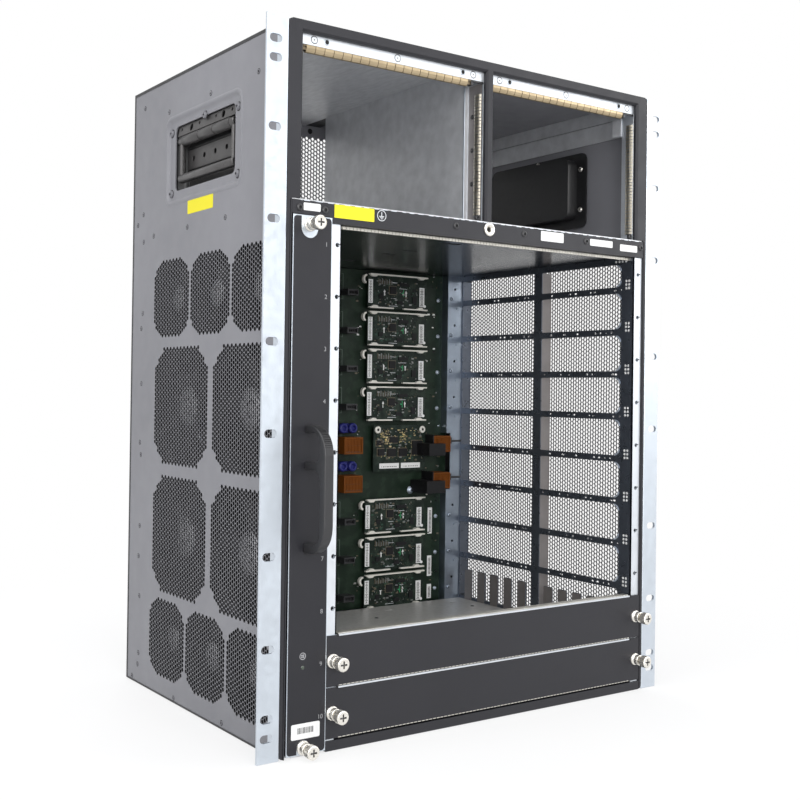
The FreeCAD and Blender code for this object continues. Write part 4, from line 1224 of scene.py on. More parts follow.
    def fittings(self) -> None:
        """Builds the bracket of the right bay and dresses the shelf and rear sockets."""
        shape = Shape("bay_bracket")
        shape.box(203.3, 218.6, -137, -136, 580, 598.5)
        shape.box(203.3, 204.3, -136, -125, 580, 598.5)
        shape.build(Finish.SHEET, bevel=0.2)
        soft_copy("psu_shelf", "bay_shelf", Finish.SHEET, 0.25, 1)
        soft_copy("psu_connectors", "bay_sockets", Finish.PLASTIC, 0.5, 2)
        pins = Shape("bay_socket_blades")
        for x in [middle + offset for middle in (-108, 108) for offset in spread(5, 9)]:
            for z in (486, 498):
                pins.box(x - 2.6, x + 2.6, 146.5, 152.8, z, z + 1.2)
        pins.build(Finish.COPPER)

    def liners(self) -> None:
        """Builds the liners under the roof and on the outer wall of the bays."""
        for name, x0, x1, finish in (("bay_liner", 13, 216.4, Finish.SIDE),
                                     ("bay_liner_left", -216.4, -7, Finish.SHEET)):
            shape = Shape(name)
            shape.box(x0, x1, *self.liner)
            shape.build(finish)
        lining = Shape("bay_side_liner")
        lining.sheet(rectangle(-150, 156, 469, 616), [rounded(-63.4, 63.4, 501.6, 568.4, 7.4)],
                     YZ, 218.2, 218.7)
        lining.build(Finish.SIDE)

    def build(self) -> None:
        """Builds everything in and around the bays."""
        self.flanges()
        self.top_gaskets()
        self.side_gaskets()
        self.middle()
        self.fittings()
        self.liners()


# --- Card cage ---
PITCH = 44.45  # height of a card slot
SLOT_BASE = 9.9
SLOTS = range(1, 11)  # slot 1 is the top one


def slot_bottom(number: int) -> float:
    """Returns the height of a slot's lower edge."""
    return SLOT_BASE + (SLOTS[-1] - number) * PITCH


@dataclass
class CageWall:
    """One windowed wall of the cage with its front flange and punched dots."""

    side: Side
    level: float
    flange: float
    screw: float
    front: float = -156.6
    rear: float = 118.6
    wall: Point2 = (1.2, 450.6)
    columns: tuple[Point2, ...] = ((-140.0, -21.7), (-10.3, 117.0))
    bar_rise: float = 7.1
    bar_half: float = 3.4
    windows: Point2 = (56.0, 444.0)
    fingers: int = 5
    finger: float = 13.6
    finger_height: float = 33.0
    corner: float = 6.5
    dots: tuple[float, ...] = (-133.0, -126.4, -104.0, -97.6, -72.0, -58.5, -34.0, 3.5, 10.0,
                               24.0, 46.0, 52.0, 88.0, 105.0)

    def out(self, depth: float) -> float:
        """Returns the X of a depth behind the wall's inner face."""
        return self.level + self.side.value * depth

    def window(self, y0: float, y1: float, z0: float, z1: float) -> Loop:
        """Returns a window whose corners are round at the front, where the lips are bent."""
        front, back = self.corner if y0 < -100 else 2.6, 1.5
        return (arc(y1 - back, z0 + back, back, -90, 0, 5)
                + arc(y1 - back, z1 - back, back, 0, 90, 5)
                + arc(y0 + front, z1 - front, front, 90, 180, 5)
                + arc(y0 + front, z0 + front, front, 180, 270, 5))

    def finger_places(self, y0: float, y1: float) -> list[float]:
        """Returns the front edges of the fingers in a column."""
        space = (y1 - y0 - self.fingers * self.finger) / (self.fingers + 1)
        return [y0 + space + index * (space + self.finger) for index in range(self.fingers)]

    def comb(self, y0: float, y1: float, high: float) -> Loop:
        """Returns the lowest opening with the fingers that stand up in it.

        Args:
            y0, y1: Limits of the column.
            high: Upper edge of the opening.

        Returns:
            The outline, counter-clockwise.
        """
        low, bevel = self.windows[0], self.corner / 2
        top = low + self.finger_height
        loop = [(y1, low), (y1, high), (y0 + bevel, high), (y0, high - bevel), (y0, low)]
        for left in self.finger_places(y0, y1):
            right = left + self.finger
            loop += [(left, low), (left, top - 1), (left + 1, top), (right - 1, top),
                     (right, top - 1), (right, low)]
        return loop

    def bars(self) -> list[float]:
        """Returns the middle heights of the bars between the windows."""
        return [slot_bottom(number) + self.bar_rise for number in SLOTS[:8]]

    def rows(self) -> list[Point2]:
        """Returns the lower and upper edge of each row of windows."""
        tops = [self.windows[1]] + [middle - self.bar_half for middle in self.bars()]
        return [(middle + self.bar_half, top) for middle, top in zip(self.bars(), tops)]

    def punched(self) -> list[Loop]:
        """Returns the small slots that are punched in the bars."""
        slots = []
        for step, middle in enumerate(self.bars()):
            for y in self.dots:
                here = y + 7 * math.sin(step * 2.1 + y)
                length = 1.1 + 1.2 * abs(math.sin(y * 0.9 + step))
                slots.append(rounded(here - length, here + length, middle - 0.9, middle + 0.9,
                                     0.85, 2))
        return slots

    def sheet(self, slots: list[Loop]) -> None:
        """Builds the wall with its windows, combs and punched slots."""
        low, high = self.wall
        rear = 130 if self.side is Side.LEFT else self.rear
        outline = [(-152.8, low), (rear, low), (rear, high), (-149.8, high), (-149.8, 449.8),
                   (self.front, 449.8), (self.front, 8.7), (-152.8, 8.7)]
        holes = [self.window(y0, y1, *row) for y0, y1 in self.columns for row in self.rows()]
        holes += [self.comb(y0, y1, self.bars()[-1] - self.bar_half) for y0, y1 in self.columns]
        shape = Shape(f"cage_wall_{self.side.word}")
        shape.sheet(outline, holes + slots, YZ, self.level, self.out(GAUGE))
        if self.side is Side.LEFT:
            shape.box(self.level, self.level + 14, 128.8, 130, low, high)
        # The wall takes the darkened cage zinc, which paints its shade and dark reflections.
        shape.build(Finish.CAGE_SHADED, node=f"cage_{self.side.word}_wall")

    def lips(self, slots: list[Loop]) -> None:
        """Builds the bent lips of the front windows and the slots' edges in lit zinc, which paints
        their highlights.
        """
        shape = Shape(f"cage_lips_{self.side.word}")
        r = self.corner
        for low, high in self.rows():
            for z, start in ((high - r, 90), (low + r, 180)):
                centre = (self.columns[0][0] + r, z)
                loop = arc(*centre, r + 0.1, start, start + 90, 6)
                loop += arc(*centre, r - 1.5, start + 90, start, 6)
                shape.prism(loop, YZ, self.out(-0.5), self.out(1))
        for slot in slots:
            shape.wall(slot, YZ, self.level, self.out(GAUGE))
        shape.build(Finish.LIP)

    def marks(self) -> None:
        """Builds the bright pressed dots near the front edge."""
        shape = Shape(f"cage_dots_{self.side.word}")
        places = [(y, middle + rise) for middle in self.bars() for y in (-146.9, -150.7)
                  for rise in (1.6, 5.4, 9.2)]
        places += [(y, 447.2) for y in (-146, -141.5, -137, -132.5)]
        for y, z in places:
            shape.prism(ring(y, z, 1.35, 10), YZ, self.out(-0.08), self.out(0.1))
        shape.build(Finish.WHITE)

    def finger_plates(self) -> None:
        """Builds the plates on the comb's fingers."""
        shape = Shape(f"cage_comb_{self.side.word}")
        low = self.windows[0]
        for y0, y1 in self.columns:
            for y in self.finger_places(y0, y1):
                shape.prism(rectangle(y + 0.3, y + self.finger - 0.3, low - 4,
                                      low + self.finger_height - 0.6), YZ,
                            self.out(-0.2), self.out(0.1))
        shape.build(Finish.SPACER)

    def front_flange(self) -> None:
        """Builds the bright flange with a notched hole beside each slot."""
        x, y, middles = self.screw, self.front, [slot_bottom(n) + PITCH / 2 for n in SLOTS]
        shape = Shape(f"cage_flange_{self.side.word}")
        holes = [ring(x, z, 2 if n < 8 else 2.9, 14, 0.5) for n, z in enumerate(middles)]
        shape.sheet(rectangle(*sorted((self.level, self.out(self.flange))), 8.7, 449.8), holes,
                    XZ, y, y + GAUGE)
        shape.build(Finish.WHITE_ZINC)
        nuts = Shape(f"cage_nuts_{self.side.word}")
        for z in middles[:8]:
            nuts.slot = 0
            nuts.lathe(((3.1, 1.3), (3.1, 2.6), (1.5, 2.6), (1.5, 1.3)), XZ, x, z, 12, False, y)
            nuts.slot = 1
            nuts.box(x + 1.9, x + 3.5, y - 0.06, y + 0.02, z + 0.1, z + 1.1)
            nuts.prism(ring(x, z, 1.9, 10), XZ, y + 2.3, y + 2.5)
        nuts.build(Finish.ZINC, Finish.PIT)

    def build(self) -> None:
        """Builds wall, lips, dots, comb and front flange."""
        slots = self.punched()
        self.sheet(slots)
        self.lips(slots)
        self.marks()
        self.finger_plates()
        self.front_flange()


@dataclass
class CardCage:
    """Both cage walls, the rear flange, spacer webs, ceiling and floor."""

    left: float = -164.0
    right: float = 203.4
    webs: Point2 = (-21.7, 118.6)
    rear: float = 118.6
    board: float = 130.0
    wall: Point2 = (1.2, 450.6)
    edge: float = 181.0
    notch: tuple[float, float, float] = (187.1, 256.2, 186.9)
    vent_x: float = -5.4
    vents: tuple[float, ...] = (62.8, -9.4, -46.4, -116.0)
    floor_front: float = -145.0
    floor_rear: float = 118.0

    def rear_flange(self) -> None:
        """Builds the zinc flange behind the cards, notched at the control slots."""
        (low, high, deep), (bottom, top), y = self.notch, self.wall, self.rear
        x0, x1 = self.edge, self.right + GAUGE
        outline = [(x0, bottom), (x1, bottom), (x1, top), (x0, top), (x0, high), (deep, high),
                   (deep, low), (x0, low)]
        heights = [slot_bottom(n) for n in SLOTS[:9]]
        shape = Shape("cage_rear_flange")
        shape.sheet(outline, [ring(192, z + 24, 1.6, 10) for z in heights
                              if not low - 4 < z + 24 < high + 4], XZ, y, y + GAUGE)
        for z0, z1 in ((bottom, low), (high, top)):
            shape.box(x0, x0 + GAUGE, y + GAUGE, self.board, z0, z1)
        shape.build(Finish.CAGE)
        marks = Shape("cage_rear_screws")
        for z in [z + 12 for z in heights if not low - 4 < z + 12 < high + 4]:
            marks.lathe(((2.6, 0), (2.6, -0.7), (1.9, -1.2), (1, -1.2)), XZ, 186.5, z, 14,
                        base=y)
            marks.prism(rounded(194, 203.2, z - 13.2, z - 10.4, 1, 3), XZ, y - 0.8, y)
            marks.slot = 1
            marks.prism(ring(186.5, z, 0.9, 6), XZ, y - 1.3, y - 1.2)
            marks.slot = 0
        marks.build(Finish.CAGE, Finish.PIT)

    def spacers(self) -> None:
        """Builds the webs between the right wall and the outer panel."""
        shape = Shape("cage_spacers")
        # The rear web takes the darkened cage zinc, which paints its shade.
        for shape.slot, y in enumerate(self.webs):
            shape.box(self.right + GAUGE, self.right + 15, y, y + GAUGE, 56, 444)
        shape.build(Finish.SPACER, Finish.CAGE_SHADED)

    def ceiling(self) -> None:
        """Builds the slotted ceiling, its front strip and the shadow above its slots."""
        left, right, x, top = self.left, self.right, self.vent_x, self.wall[1]
        shape = Shape("cage_roof")
        slots = [rounded(x - 8.5, x + 8.5, y - 4, y + 4, 3.99, 8) for y in self.vents]
        shape.sheet(rectangle(left - GAUGE, right + GAUGE, -149.8, 133), slots, XY, top,
                    top + GAUGE)
        shape.build(Finish.CEILING, node="cage_ceiling")
        strip = Shape("cage_roof_strip")
        for place in spread(96, (right - left) / 96, (right + left) / 2):
            strip.box(place - 1.7, place + 1.7, -152.4, -149.9, 447, 449.5)
        strip.build(Finish.CREAM)
        dark = Shape("cage_roof_shadow")
        for y in self.vents:
            dark.box(x - 9.5, x + 9.5, y - 5, y + 5, 453, 453.4)
        dark.build(Finish.PIT)

    def floor(self) -> None:
        """Builds the pale floor with its folded edges and small slots."""
        shape = Shape("cage_shelf")
        left, right = self.left + 0.1, self.right - 0.1
        front, rear = self.floor_front, self.floor_rear
        holes = [rounded(x - 5, x + 5, y - 1.2, y + 1.2, 1.15, 3)
                 for x in (-120, -20, 80, 176) for y in (-110, 20, 96)]
        shape.sheet(rectangle(left, right, front, rear), holes, XY, 50.8, 52)
        for x in (left, right - GAUGE):
            shape.box(x, x + GAUGE, front, rear, 44, 50.8)
        shape.build(Finish.PALE, node="cage_floor")
        screw_set("cage_floor_screws", XY, [(x, 66) for x in (181, 40, -100)], 52, 1,
                  (2.4, 0.8, 1, 0), Finish.DARK_SCREW)

    def build(self) -> None:
        """Builds the whole cage."""
        CageWall(Side.LEFT, self.left, 10.2, -168.0).build()
        CageWall(Side.RIGHT, self.right, 12.0, 209.7).build()
        self.rear_flange()
        self.spacers()
        self.ceiling()
        self.floor()


# --- Backplane ---
@dataclass
class Backplane:
    """Rear board with its plug-in boards, connectors, screws and labels."""

    face: float = 130.0
    card_face: float = 122.4
    cards: tuple[int, ...] = (1, 2, 3, 4, 7, 8, 9)
    control: tuple[int, ...] = (5, 6)
    card_left: float = 62.0
    card_width: float = 88.0
    card_height: float = 40.0
    spots: random.Random = field(default_factory=lambda: random.Random(11))

    def scatter(self, shape: Shape, area: Limits, face: float, count: int, tall: float,
                kinds: int = 4) -> None:
        """Adds small soldered parts in rows over an area.

        Args:
            shape: Shape that gets the parts.
            area: Limits in X and Z.
            face: Level of the board's face.
            count: How many parts.
            tall: Greatest height of a part.
            kinds: Number of finishes to choose from.
        """
        x0, x1, z0, z1 = area
        for _ in range(count):
            shape.slot = self.spots.randrange(kinds)
            wide, high = self.spots.choice(((1.6, 0.8), (0.8, 1.6), (2.4, 1.2), (1, 1),
                                            (3.2, 1.8), (0.6, 2.2)))
            x = x0 + round(self.spots.random() * (x1 - x0 - wide) / 0.9) * 0.9
            z = z0 + round(self.spots.random() * (z1 - z0 - high) / 1.2) * 1.2
            shape.box(x, x + wide, face - tall * self.spots.uniform(0.3, 1), face, z, z + high)

    def main_board(self) -> None:
        """Builds the board with printed outlines, small parts and dark sockets."""
        soft_copy("backplane", "back_board", Finish.BOARD, 0.2, 1)
        parts, marks = Shape("back_board_parts"), Shape("back_board_print")
        sockets, y = Shape("back_board_sockets"), self.face
        for z in map(slot_bottom, SLOTS[:9]):
            self.scatter(parts, (-158, 20, z + 2, z + 40), y, 26, 1.2)
            self.scatter(parts, (152, 180, z + 20, z + 40), y, 7, 1)
            self.scatter(parts, (50, 60, z + 2, z + 30), y, 7, 0.9)
            for x in (-140, -95, -50, 2):
                marks.sheet(rectangle(x, x + 30, z + 4, z + 34),
                            [rectangle(x + 0.5, x + 29.5, z + 4.5, z + 33.5)], XZ, y - 0.05, y)
            for x in (-150, -105, -60):
                sockets.slot = 0
                sockets.box(x, x + 34, y - 9, y, z + 6, z + 13.4)
                sockets.slot = 1
                for u in (x + 1.6 + 2.3 * pin for pin in range(14)):
                    sockets.box(u, u + 1, y - 9.1, y - 8.9, z + 7.2, z + 12.2)
        parts.build(Finish.CHIP, Finish.TAN_PART, Finish.CHIP, Finish.SOLDER)
        marks.build(Finish.SILK)
        sockets.build(Finish.CHIP, Finish.PIT)

    def lever(self, shape: Shape, x0: float, x1: float, z: float, out: float,
              *bumps: float) -> None:
        """Adds a flat white bar with small ears that point into the board.

        Args:
            shape: Shape that gets the bar.
            x0, x1: Ends of the bar.
            z: Height of its outer edge.
            out: 1 if that is the upper edge, -1 if it is the lower one.
            bumps: Middles of the ears, from right to left.
        """
        near, far = z - out * 1.5, z - out * 3.4
        loop = [(x0, z), (x1, z), (x1, near)]
        for x in bumps:
            loop += [(x + 5, near), (x + 2.6, far), (x - 2.6, far), (x - 5, near)]
        loop.append((x0, near))
        shape.prism(loop, XZ, self.card_face - 3.6, self.card_face + 0.2)

    def stripes(self, area: Limits, number: int) -> Iterator[Limits]:
        """Yields the uneven bars of the label on a plug-in board.

        Args:
            area: Limits of the paper in X and Z.
            number: The board's slot, which sets the heights of the bars.

        Returns:
            The limits of one bar after another.
        """
        x0, x1, z0, z1 = area
        z, step = z0 + 1.2, 0
        while z < z1 - 1.4:
            high = 0.25 + 0.5 * abs(math.sin(step * 1.9 + number))
            inset = 1.6 if step % 3 else 0.9
            yield x0 + inset, x1 - inset - 0.6, z, z + high
            z += high + 0.35 + 0.4 * abs(math.sin(step * 2.7))
            step += 1

    def card(self, number: int, shapes: dict[str, Shape]) -> None:
        """Builds one plug-in board with bars, labels, chips and small parts."""
        x, low, y = self.card_left, slot_bottom(number) - 4.6, self.card_face
        right, top = x + self.card_width, low + self.card_height
        shapes["plate"].box(x, right, y, y + 1.6, low, top)
        shapes["plate"].box(x + 5, right - 5, y + 1.6, self.face, low + 15, low + 25)
        bars, centre = shapes["bars"], top - 6.5
        self.lever(bars, x + 1, right - 0.5, top + 0.4, 1, right - 10, x + 7.5)
        self.lever(bars, x + 0.5, x + 36, low - 0.2, -1, x + 8.5)
        self.lever(bars, x + 51, right - 1, low - 0.2, -1, right - 12)
        hook = [(x - 4 + 4.6 * u, centre + 5.4 * v) for u, v in arc(0, 0, 1, 80, 260, 9)]
        hook += [(x - 3.6 + 2.6 * u, centre + 3.6 * v) for u, v in arc(0, 0, 1, 260, 80, 9)]
        bars.prism(hook, XZ, y - 3, y + 1)
        labels = shapes["labels"]
        for area in ((x + 0.6, x + 6.6, low + 5.8, top - 6.5),
                     (x + 76.5, x + 83.8, low + 4.4, top - 12.3)):
            labels.bar_code(area, y, 0.9, self.stripes(area, number))
        labels.prism(ring(x + 84.6, low + 5.4, 1.7, 14), XZ, y - 1, y)
        for u in (x + 24.3, x + 56.5):
            v = top - 21
            labels.prism([(u - 0.7, v - 3.6), (u + 0.7, v - 3.6), (u + 0.7, v + 0.6),
                          (u + 1.7, v + 0.6), (u, v + 3.8), (u - 1.7, v + 0.6),
                          (u - 0.7, v + 0.6)], XZ, y - 0.12, y)
        chips = shapes["chips"]
        chips.slot = 1
        chips.box(x + 30.6, x + 42.2, y - 0.15, y, top - 23.2, top - 12.4)
        chips.slot = 0
        chips.prism(rounded(x + 31.8, x + 41, top - 22.3, top - 13.4, 0.5, 2), XZ,
                    y - 1.5, y - 0.15)
        for u, v, wide, high in ((46, 8.2, 14, 4), (66, 24, 6, 8), (16, 24, 6, 5),
                                 (43, 30, 8, 4.5)):
            chips.box(x + u, x + u + wide, y - 1.1, y, top - v - high, top - v)
        shapes["green"].prism(ring(x + 50.6, top - 20.6, 0.9, 10), XZ, y - 0.7, y)
        shapes["green"].box(x + 52.4, x + 53.2, y - 0.1, y, top - 24.5, top - 16.5)
        parts = shapes["parts"]
        for column in range(12):
            parts.slot, u = 1 + column % 2, x + 15 + column * 1.75
            parts.box(u, u + 0.8, y - 0.7, y, top - 11.2, top - 4.6 - 1.2 * (column % 3))
        self.scatter(parts, (x + 9, x + 74, low + 4, top - 5), y, 110, 0.9)
        for u, v, wide in ((32, 8.2, 11), (34, 27.2, 8), (40, 34, 12), (46, 15, 12),
                           (31, 36.2, 13)):
            shapes["print"].box(x + u, x + u + wide, y - 0.06, y, top - v - 0.5, top - v)

    def card_boards(self) -> None:
        """Builds the seven plug-in boards."""
        kinds = {"plate": (Finish.CARD,), "bars": (Finish.IVORY,),
                 "labels": (Finish.WHITE, Finish.INK), "chips": (Finish.CHIP, Finish.TAN_PART),
                 "green": (Finish.GREEN_PART,),
                 "parts": (Finish.CHIP, Finish.TAN_PART, Finish.DIM_SOLDER, Finish.DARK_GREEN),
                 "print": (Finish.PRINT,)}
        shapes = {kind: Shape("plug_in_" + kind) for kind in kinds}
        for number in self.cards:
            self.card(number, shapes)
        for kind, finishes in kinds.items():
            shapes[kind].build(*finishes, node="mezz_boards" if kind == "plate" else "")

    def control_card(self) -> None:
        """Builds the board between the control slots."""
        x0, x1, low, top, y = 73, 151, 211.3, 266.3, self.card_face
        plate = Shape("control_plate")
        plate.box(x0, x1, y, y + 1.6, low, top)
        plate.box(x0 + 5, x1 - 5, y + 1.6, self.face, 233.8, 243.8)
        plate.build(Finish.CARD, node="centre_board")
        parts = Shape("control_parts")
        self.scatter(parts, (x0 + 3, x1 - 3, low + 12, top - 3), y, 190, 1.1)
        self.scatter(parts, (x0 + 8, x0 + 26, top - 22, top - 4), y, 40, 2.2, 2)
        self.scatter(parts, (x0 + 38, x0 + 50, top - 18, top - 6), y, 22, 2.2, 2)
        parts.build(Finish.TAN_PART, Finish.COPPER, Finish.DIM_SOLDER, Finish.DARK_GREEN)
        chips = Shape("control_chips")
        for u0, u1, v0, v1, high in ((57, 72, 19, 36, 1.6), (6, 15, 28, 36, 2.4),
                                     (20, 32, 28, 37, 2), (37, 49, 28, 37, 2),
                                     (23, 35, 14, 21, 1.6), (4, 12, 18, 24, 1.4)):
            chips.slot = 1
            chips.box(x0 + u0 - 1, x0 + u1 + 1, y - 0.2, y, top - v1 - 1, top - v0 + 1)
            chips.slot = 0
            chips.prism(rounded(x0 + u0, x0 + u1, top - v1, top - v0, 0.5, 2), XZ,
                        y - high, y - 0.2)
        chips.build(Finish.CHIP, Finish.TAN_PART)
        posts = Shape("control_posts")
        for x in (x0 + 5.6, x1 - 5.6):
            posts.slot = 0
            posts.lathe(((4.3, 0), (4.3, 1.2), (3.7, 1.9), (1.6, 1.9), (1.6, 1)), XZ,
                        x, top - 5.4, 24, base=y, out=-1)
            posts.slot = 1
            posts.prism(ring(x, top - 5.4, 1.5, 10), XZ, y - 1.95, y - 1.85)
        posts.build(Finish.IVORY, Finish.CHIP)
        labels = Shape("control_labels")
        for left in (x0 + 9, x0 + 41):
            bars = [(u, u + 0.7 + 0.9 * abs(math.sin(step * 1.7)), low + 5, low + 6)
                    for step, u in enumerate(left + 3 + 2.6 * k for k in range(9))]
            labels.bar_code((left, left + 29, low + 3.4, low + 9.6), y, 0.2, bars, 0.04)
        labels.build(Finish.WHITE, Finish.INK)
        ridge = Shape("control_socket")
        for x, back, z in ((137.5, y, 230), (134.5, self.face, 185)):
            ridge.box(x, 152.7, 106.4, back, z, z + 14.6)
            ridge.box(x, 162.4, 97, 106.4, z, z + 14.6)
            ridge.box(151.4, 152.9, 107.6, self.face, z - 1, z + 25)
        ridge.build(Finish.CHIP, bevel=0.4)

    def orange_sockets(self) -> None:
        """Builds the orange connectors of the control slots."""
        shape = Shape("orange_sockets")
        for x in (22, 153):
            for number in self.control:
                z = slot_bottom(number) + 1.6
                shape.slot = 0
                shape.sheet(rectangle(x, x + 26, z, z + 19.4),
                            [rectangle(x + 1.6, x + 24.4, z + 1.6, z + 17.8)], XZ,
                            108, self.face)
                shape.box(x + 1.6, x + 24.4, 109.2, self.face, z + 1.6, z + 17.8)
                for u in (x + 2.2 + 2.05 * rib for rib in range(11)):
                    shape.box(u, u + 1.1, 108.5, 109.3, z + 1.7, z + 17.7)
                shape.slot = 1
                shape.box(x + 1.7, x + 24.3, 108.7, 109.3, z + 1.7, z + 3.2)
                shape.box(x + 1.7, x + 24.3, 108.9, 109.3, z + 9.4, z + 10)
        shape.build(Finish.ORANGE, Finish.BROWN_PART, node="orange_connectors")

    def blue_keys(self) -> None:
        """Builds the blue coding keys of the control slots."""
        shape = Shape("blue_keys")
        for number in self.control:
            z = slot_bottom(number) + 25.1
            shape.box(22.4, 47.6, 124, self.face, z + 0.6, z + 11.4)
            for x in (28.4, 41.6):
                shape.lathe(((6, 126), (6, 119.6), (5.2, 118.3), (3.4, 118), (3, 119),
                             (2.6, 121.5)), XZ, x, z + 6, 20)
        shape.build(Finish.BLUE, node="blue_connectors")

    def card_sockets(self) -> None:
        """Builds the small black connectors and the two guide pins."""
        shape = Shape("card_sockets")
        for number in self.cards:
            z = slot_bottom(number) + 8
            shape.slot = 0
            shape.sheet(rectangle(28, 43, z, z + 7),
                        [rectangle(29.2, 41.8, z + 1.2, z + 5.8)], XZ, 114, self.face)
            shape.box(29.2, 41.8, 117, self.face, z + 1.2, z + 5.8)
            shape.slot = 1
            for u in (30.4 + 2.4 * pin for pin in range(5)):
                shape.box(u, u + 0.8, 115.6, 117.1, z + 2.2, z + 4.8)
        shape.build(Finish.PLASTIC, Finish.CHIP, node="black_connectors")
        pins = Shape("guide_pins")
        for z in (246.8, 202.4):
            pins.tube([(x, 112, z) for x in (179, 183, 196, 198.5)], 1.3, 10)
            pins.box(178.9, 181.5, 109, 116, z - 3, z + 4.5)
        pins.build(Finish.PLASTIC)

    def fasteners(self) -> None:
        """Builds the round screws at the board's edge, the washer screw and the labels."""
        shape, y = Shape("board_screws"), self.face
        for x, z, wide in [(174, slot_bottom(n) + 10, 2.4) for n in self.cards] + [(134, 187, 4.6)]:
            shape.slot = 0
            shape.lathe(((wide, 0), (wide, 0.7), (wide * 0.72, 0.8), (wide * 0.7, 2),
                         (wide * 0.5, 2.5), (0.8, 2.6)), XZ, x, z, 20, base=y, out=-1)
            shape.slot = 1
            shape.prism(ring(x, z, 0.75, 6), XZ, y - 2.7, y - 2.6)
        # The board screws take the lit zinc, which paints their bright highlights.
        shape.build(Finish.LIP, Finish.PIT, node="backplane_screws")
        labels = Shape("board_labels")
        for z0, z1 in ((132, 164), (80, 105), (52.5, 70)):
            bars = [(164, 167.2, z0 + 2 + 1.6 * step, z0 + 2.9 + 1.6 * step)
                    for step in range(int((z1 - z0 - 4) / 1.6))]
            labels.bar_code((162, 168.6, z0, z1), y, 0.2, bars)
        labels.build(Finish.WHITE, Finish.INK)

    def build(self) -> None:
        """Builds the backplane and everything plugged into it."""
        self.main_board()
        self.card_boards()
        self.control_card()
        self.orange_sockets()
        self.blue_keys()
        self.card_sockets()
        self.fasteners()


# --- Fan tray ---
FAN_PLACES = ((80, -103.5, 396.95), (80, -20.6, 396.95), (80, 62.3, 396.95),
              (119, -87.5, 289.84), (119, 38.9, 289.84),
              (119, -87.5, 161.86), (119, 38.9, 161.86),
              (80, -103.5, 58.01), (80, -20.6, 58.01), (80, 62.3, 58.01))  # width, Y, Z


def lettered(shape: Shape, text: str, x: float, z: float, size: float, face: float) -> None:
    """Adds flat figures centred on a point of the front.

    Args:
        shape: Shape that gets the figures.
        text: Figures to write.
        x, z: Middle of the figures.
        size: Height of the type in millimetres.
        face: Level of the surface.
    """
    curve = bpy.data.curves.new("figures", "FONT")
    curve.body, curve.size = text, size
    curve.align_x, curve.align_y = "CENTER", "CENTER"
    holder = bpy.data.objects.new("figures", curve)
    mesh = bpy.data.meshes.new_from_object(holder)
    shape.add([(x + v.co.x, face - 0.03, z + v.co.y) for v in mesh.vertices],
              [tuple(polygon.vertices) for polygon in mesh.polygons])
    bpy.data.objects.remove(holder)
    bpy.data.curves.remove(curve)
    bpy.data.meshes.remove(mesh)


def collar(shape: Shape, x: float, z: float) -> None:
    """Adds the stepped ring on a panel that keeps a captive screw."""
    shape.lathe(((6.1, 0), (6.1, 1.3), (5.7, 1.7), (5, 1.9), (4.9, 5.6), (5.3, 6), (5.3, 7.3),
                 (4.9, 7.7), (2.65, 7.7), (2.65, 0)), XZ, x, z, 32, False, FACE, -1)


@dataclass
class CaptiveScrew:
    """Knurled nickel screw with a cross recess."""

    node: str
    body: str
    x: float
    z: float
    face: float = -175.5
    length: float = 7.0
    radius: float = 6.0
    teeth: int = 44

    def knurl(self, dip: float) -> Loop:
        """Returns a toothed outline."""
        loops = [ring(self.x, self.z, r, 2 * self.teeth) for r in (self.radius, self.radius - dip)]
        return [loops[k % 2][k] for k in range(2 * self.teeth)]

    def build(self) -> None:
        """Builds head, recess and shank."""
        shape = Shape(self.node + "_screw")
        x, z, face, end, fine = self.x, self.z, self.face, self.length, 2 * self.teeth
        half, arm = 0.75, 3.25
        cross = [(x + a, z + b) for a, b in (
            (half, arm), (-half, arm), (-half, half), (-arm, half), (-arm, -half), (-half, -half),
            (-half, -arm), (half, -arm), (half, -half), (arm, -half), (arm, half), (half, half))]
        shape.sheet(ring(x, z, 5.1, 44), [cross], XZ, face, face + 0.01, False)
        shape.wall(ring(x, z, 5.1, fine), XZ, face, face + 0.55, self.knurl(0.3))
        shape.wall(self.knurl(0.38), XZ, face + 0.55, face + end - 0.7)
        shape.wall(self.knurl(0.38), XZ, face + end - 0.7, face + end, ring(x, z, 5.2, fine))
        shape.lathe(((5.2, end), (3.6, end), (3.6, end + 2.6), (2.5, end + 2.8), (2.5, 24.5),
                     (1.9, 25.6)), XZ, x, z, base=face)
        # The cross at the bottom of the recess is dark grey, painting its shade.
        shape.slot = 1
        shape.prism(cross, XZ, face + 1.5, face + 1.6)
        shape.build(Finish.NICKEL, Finish.RECESS_SHADE, body=self.body, node=self.node)


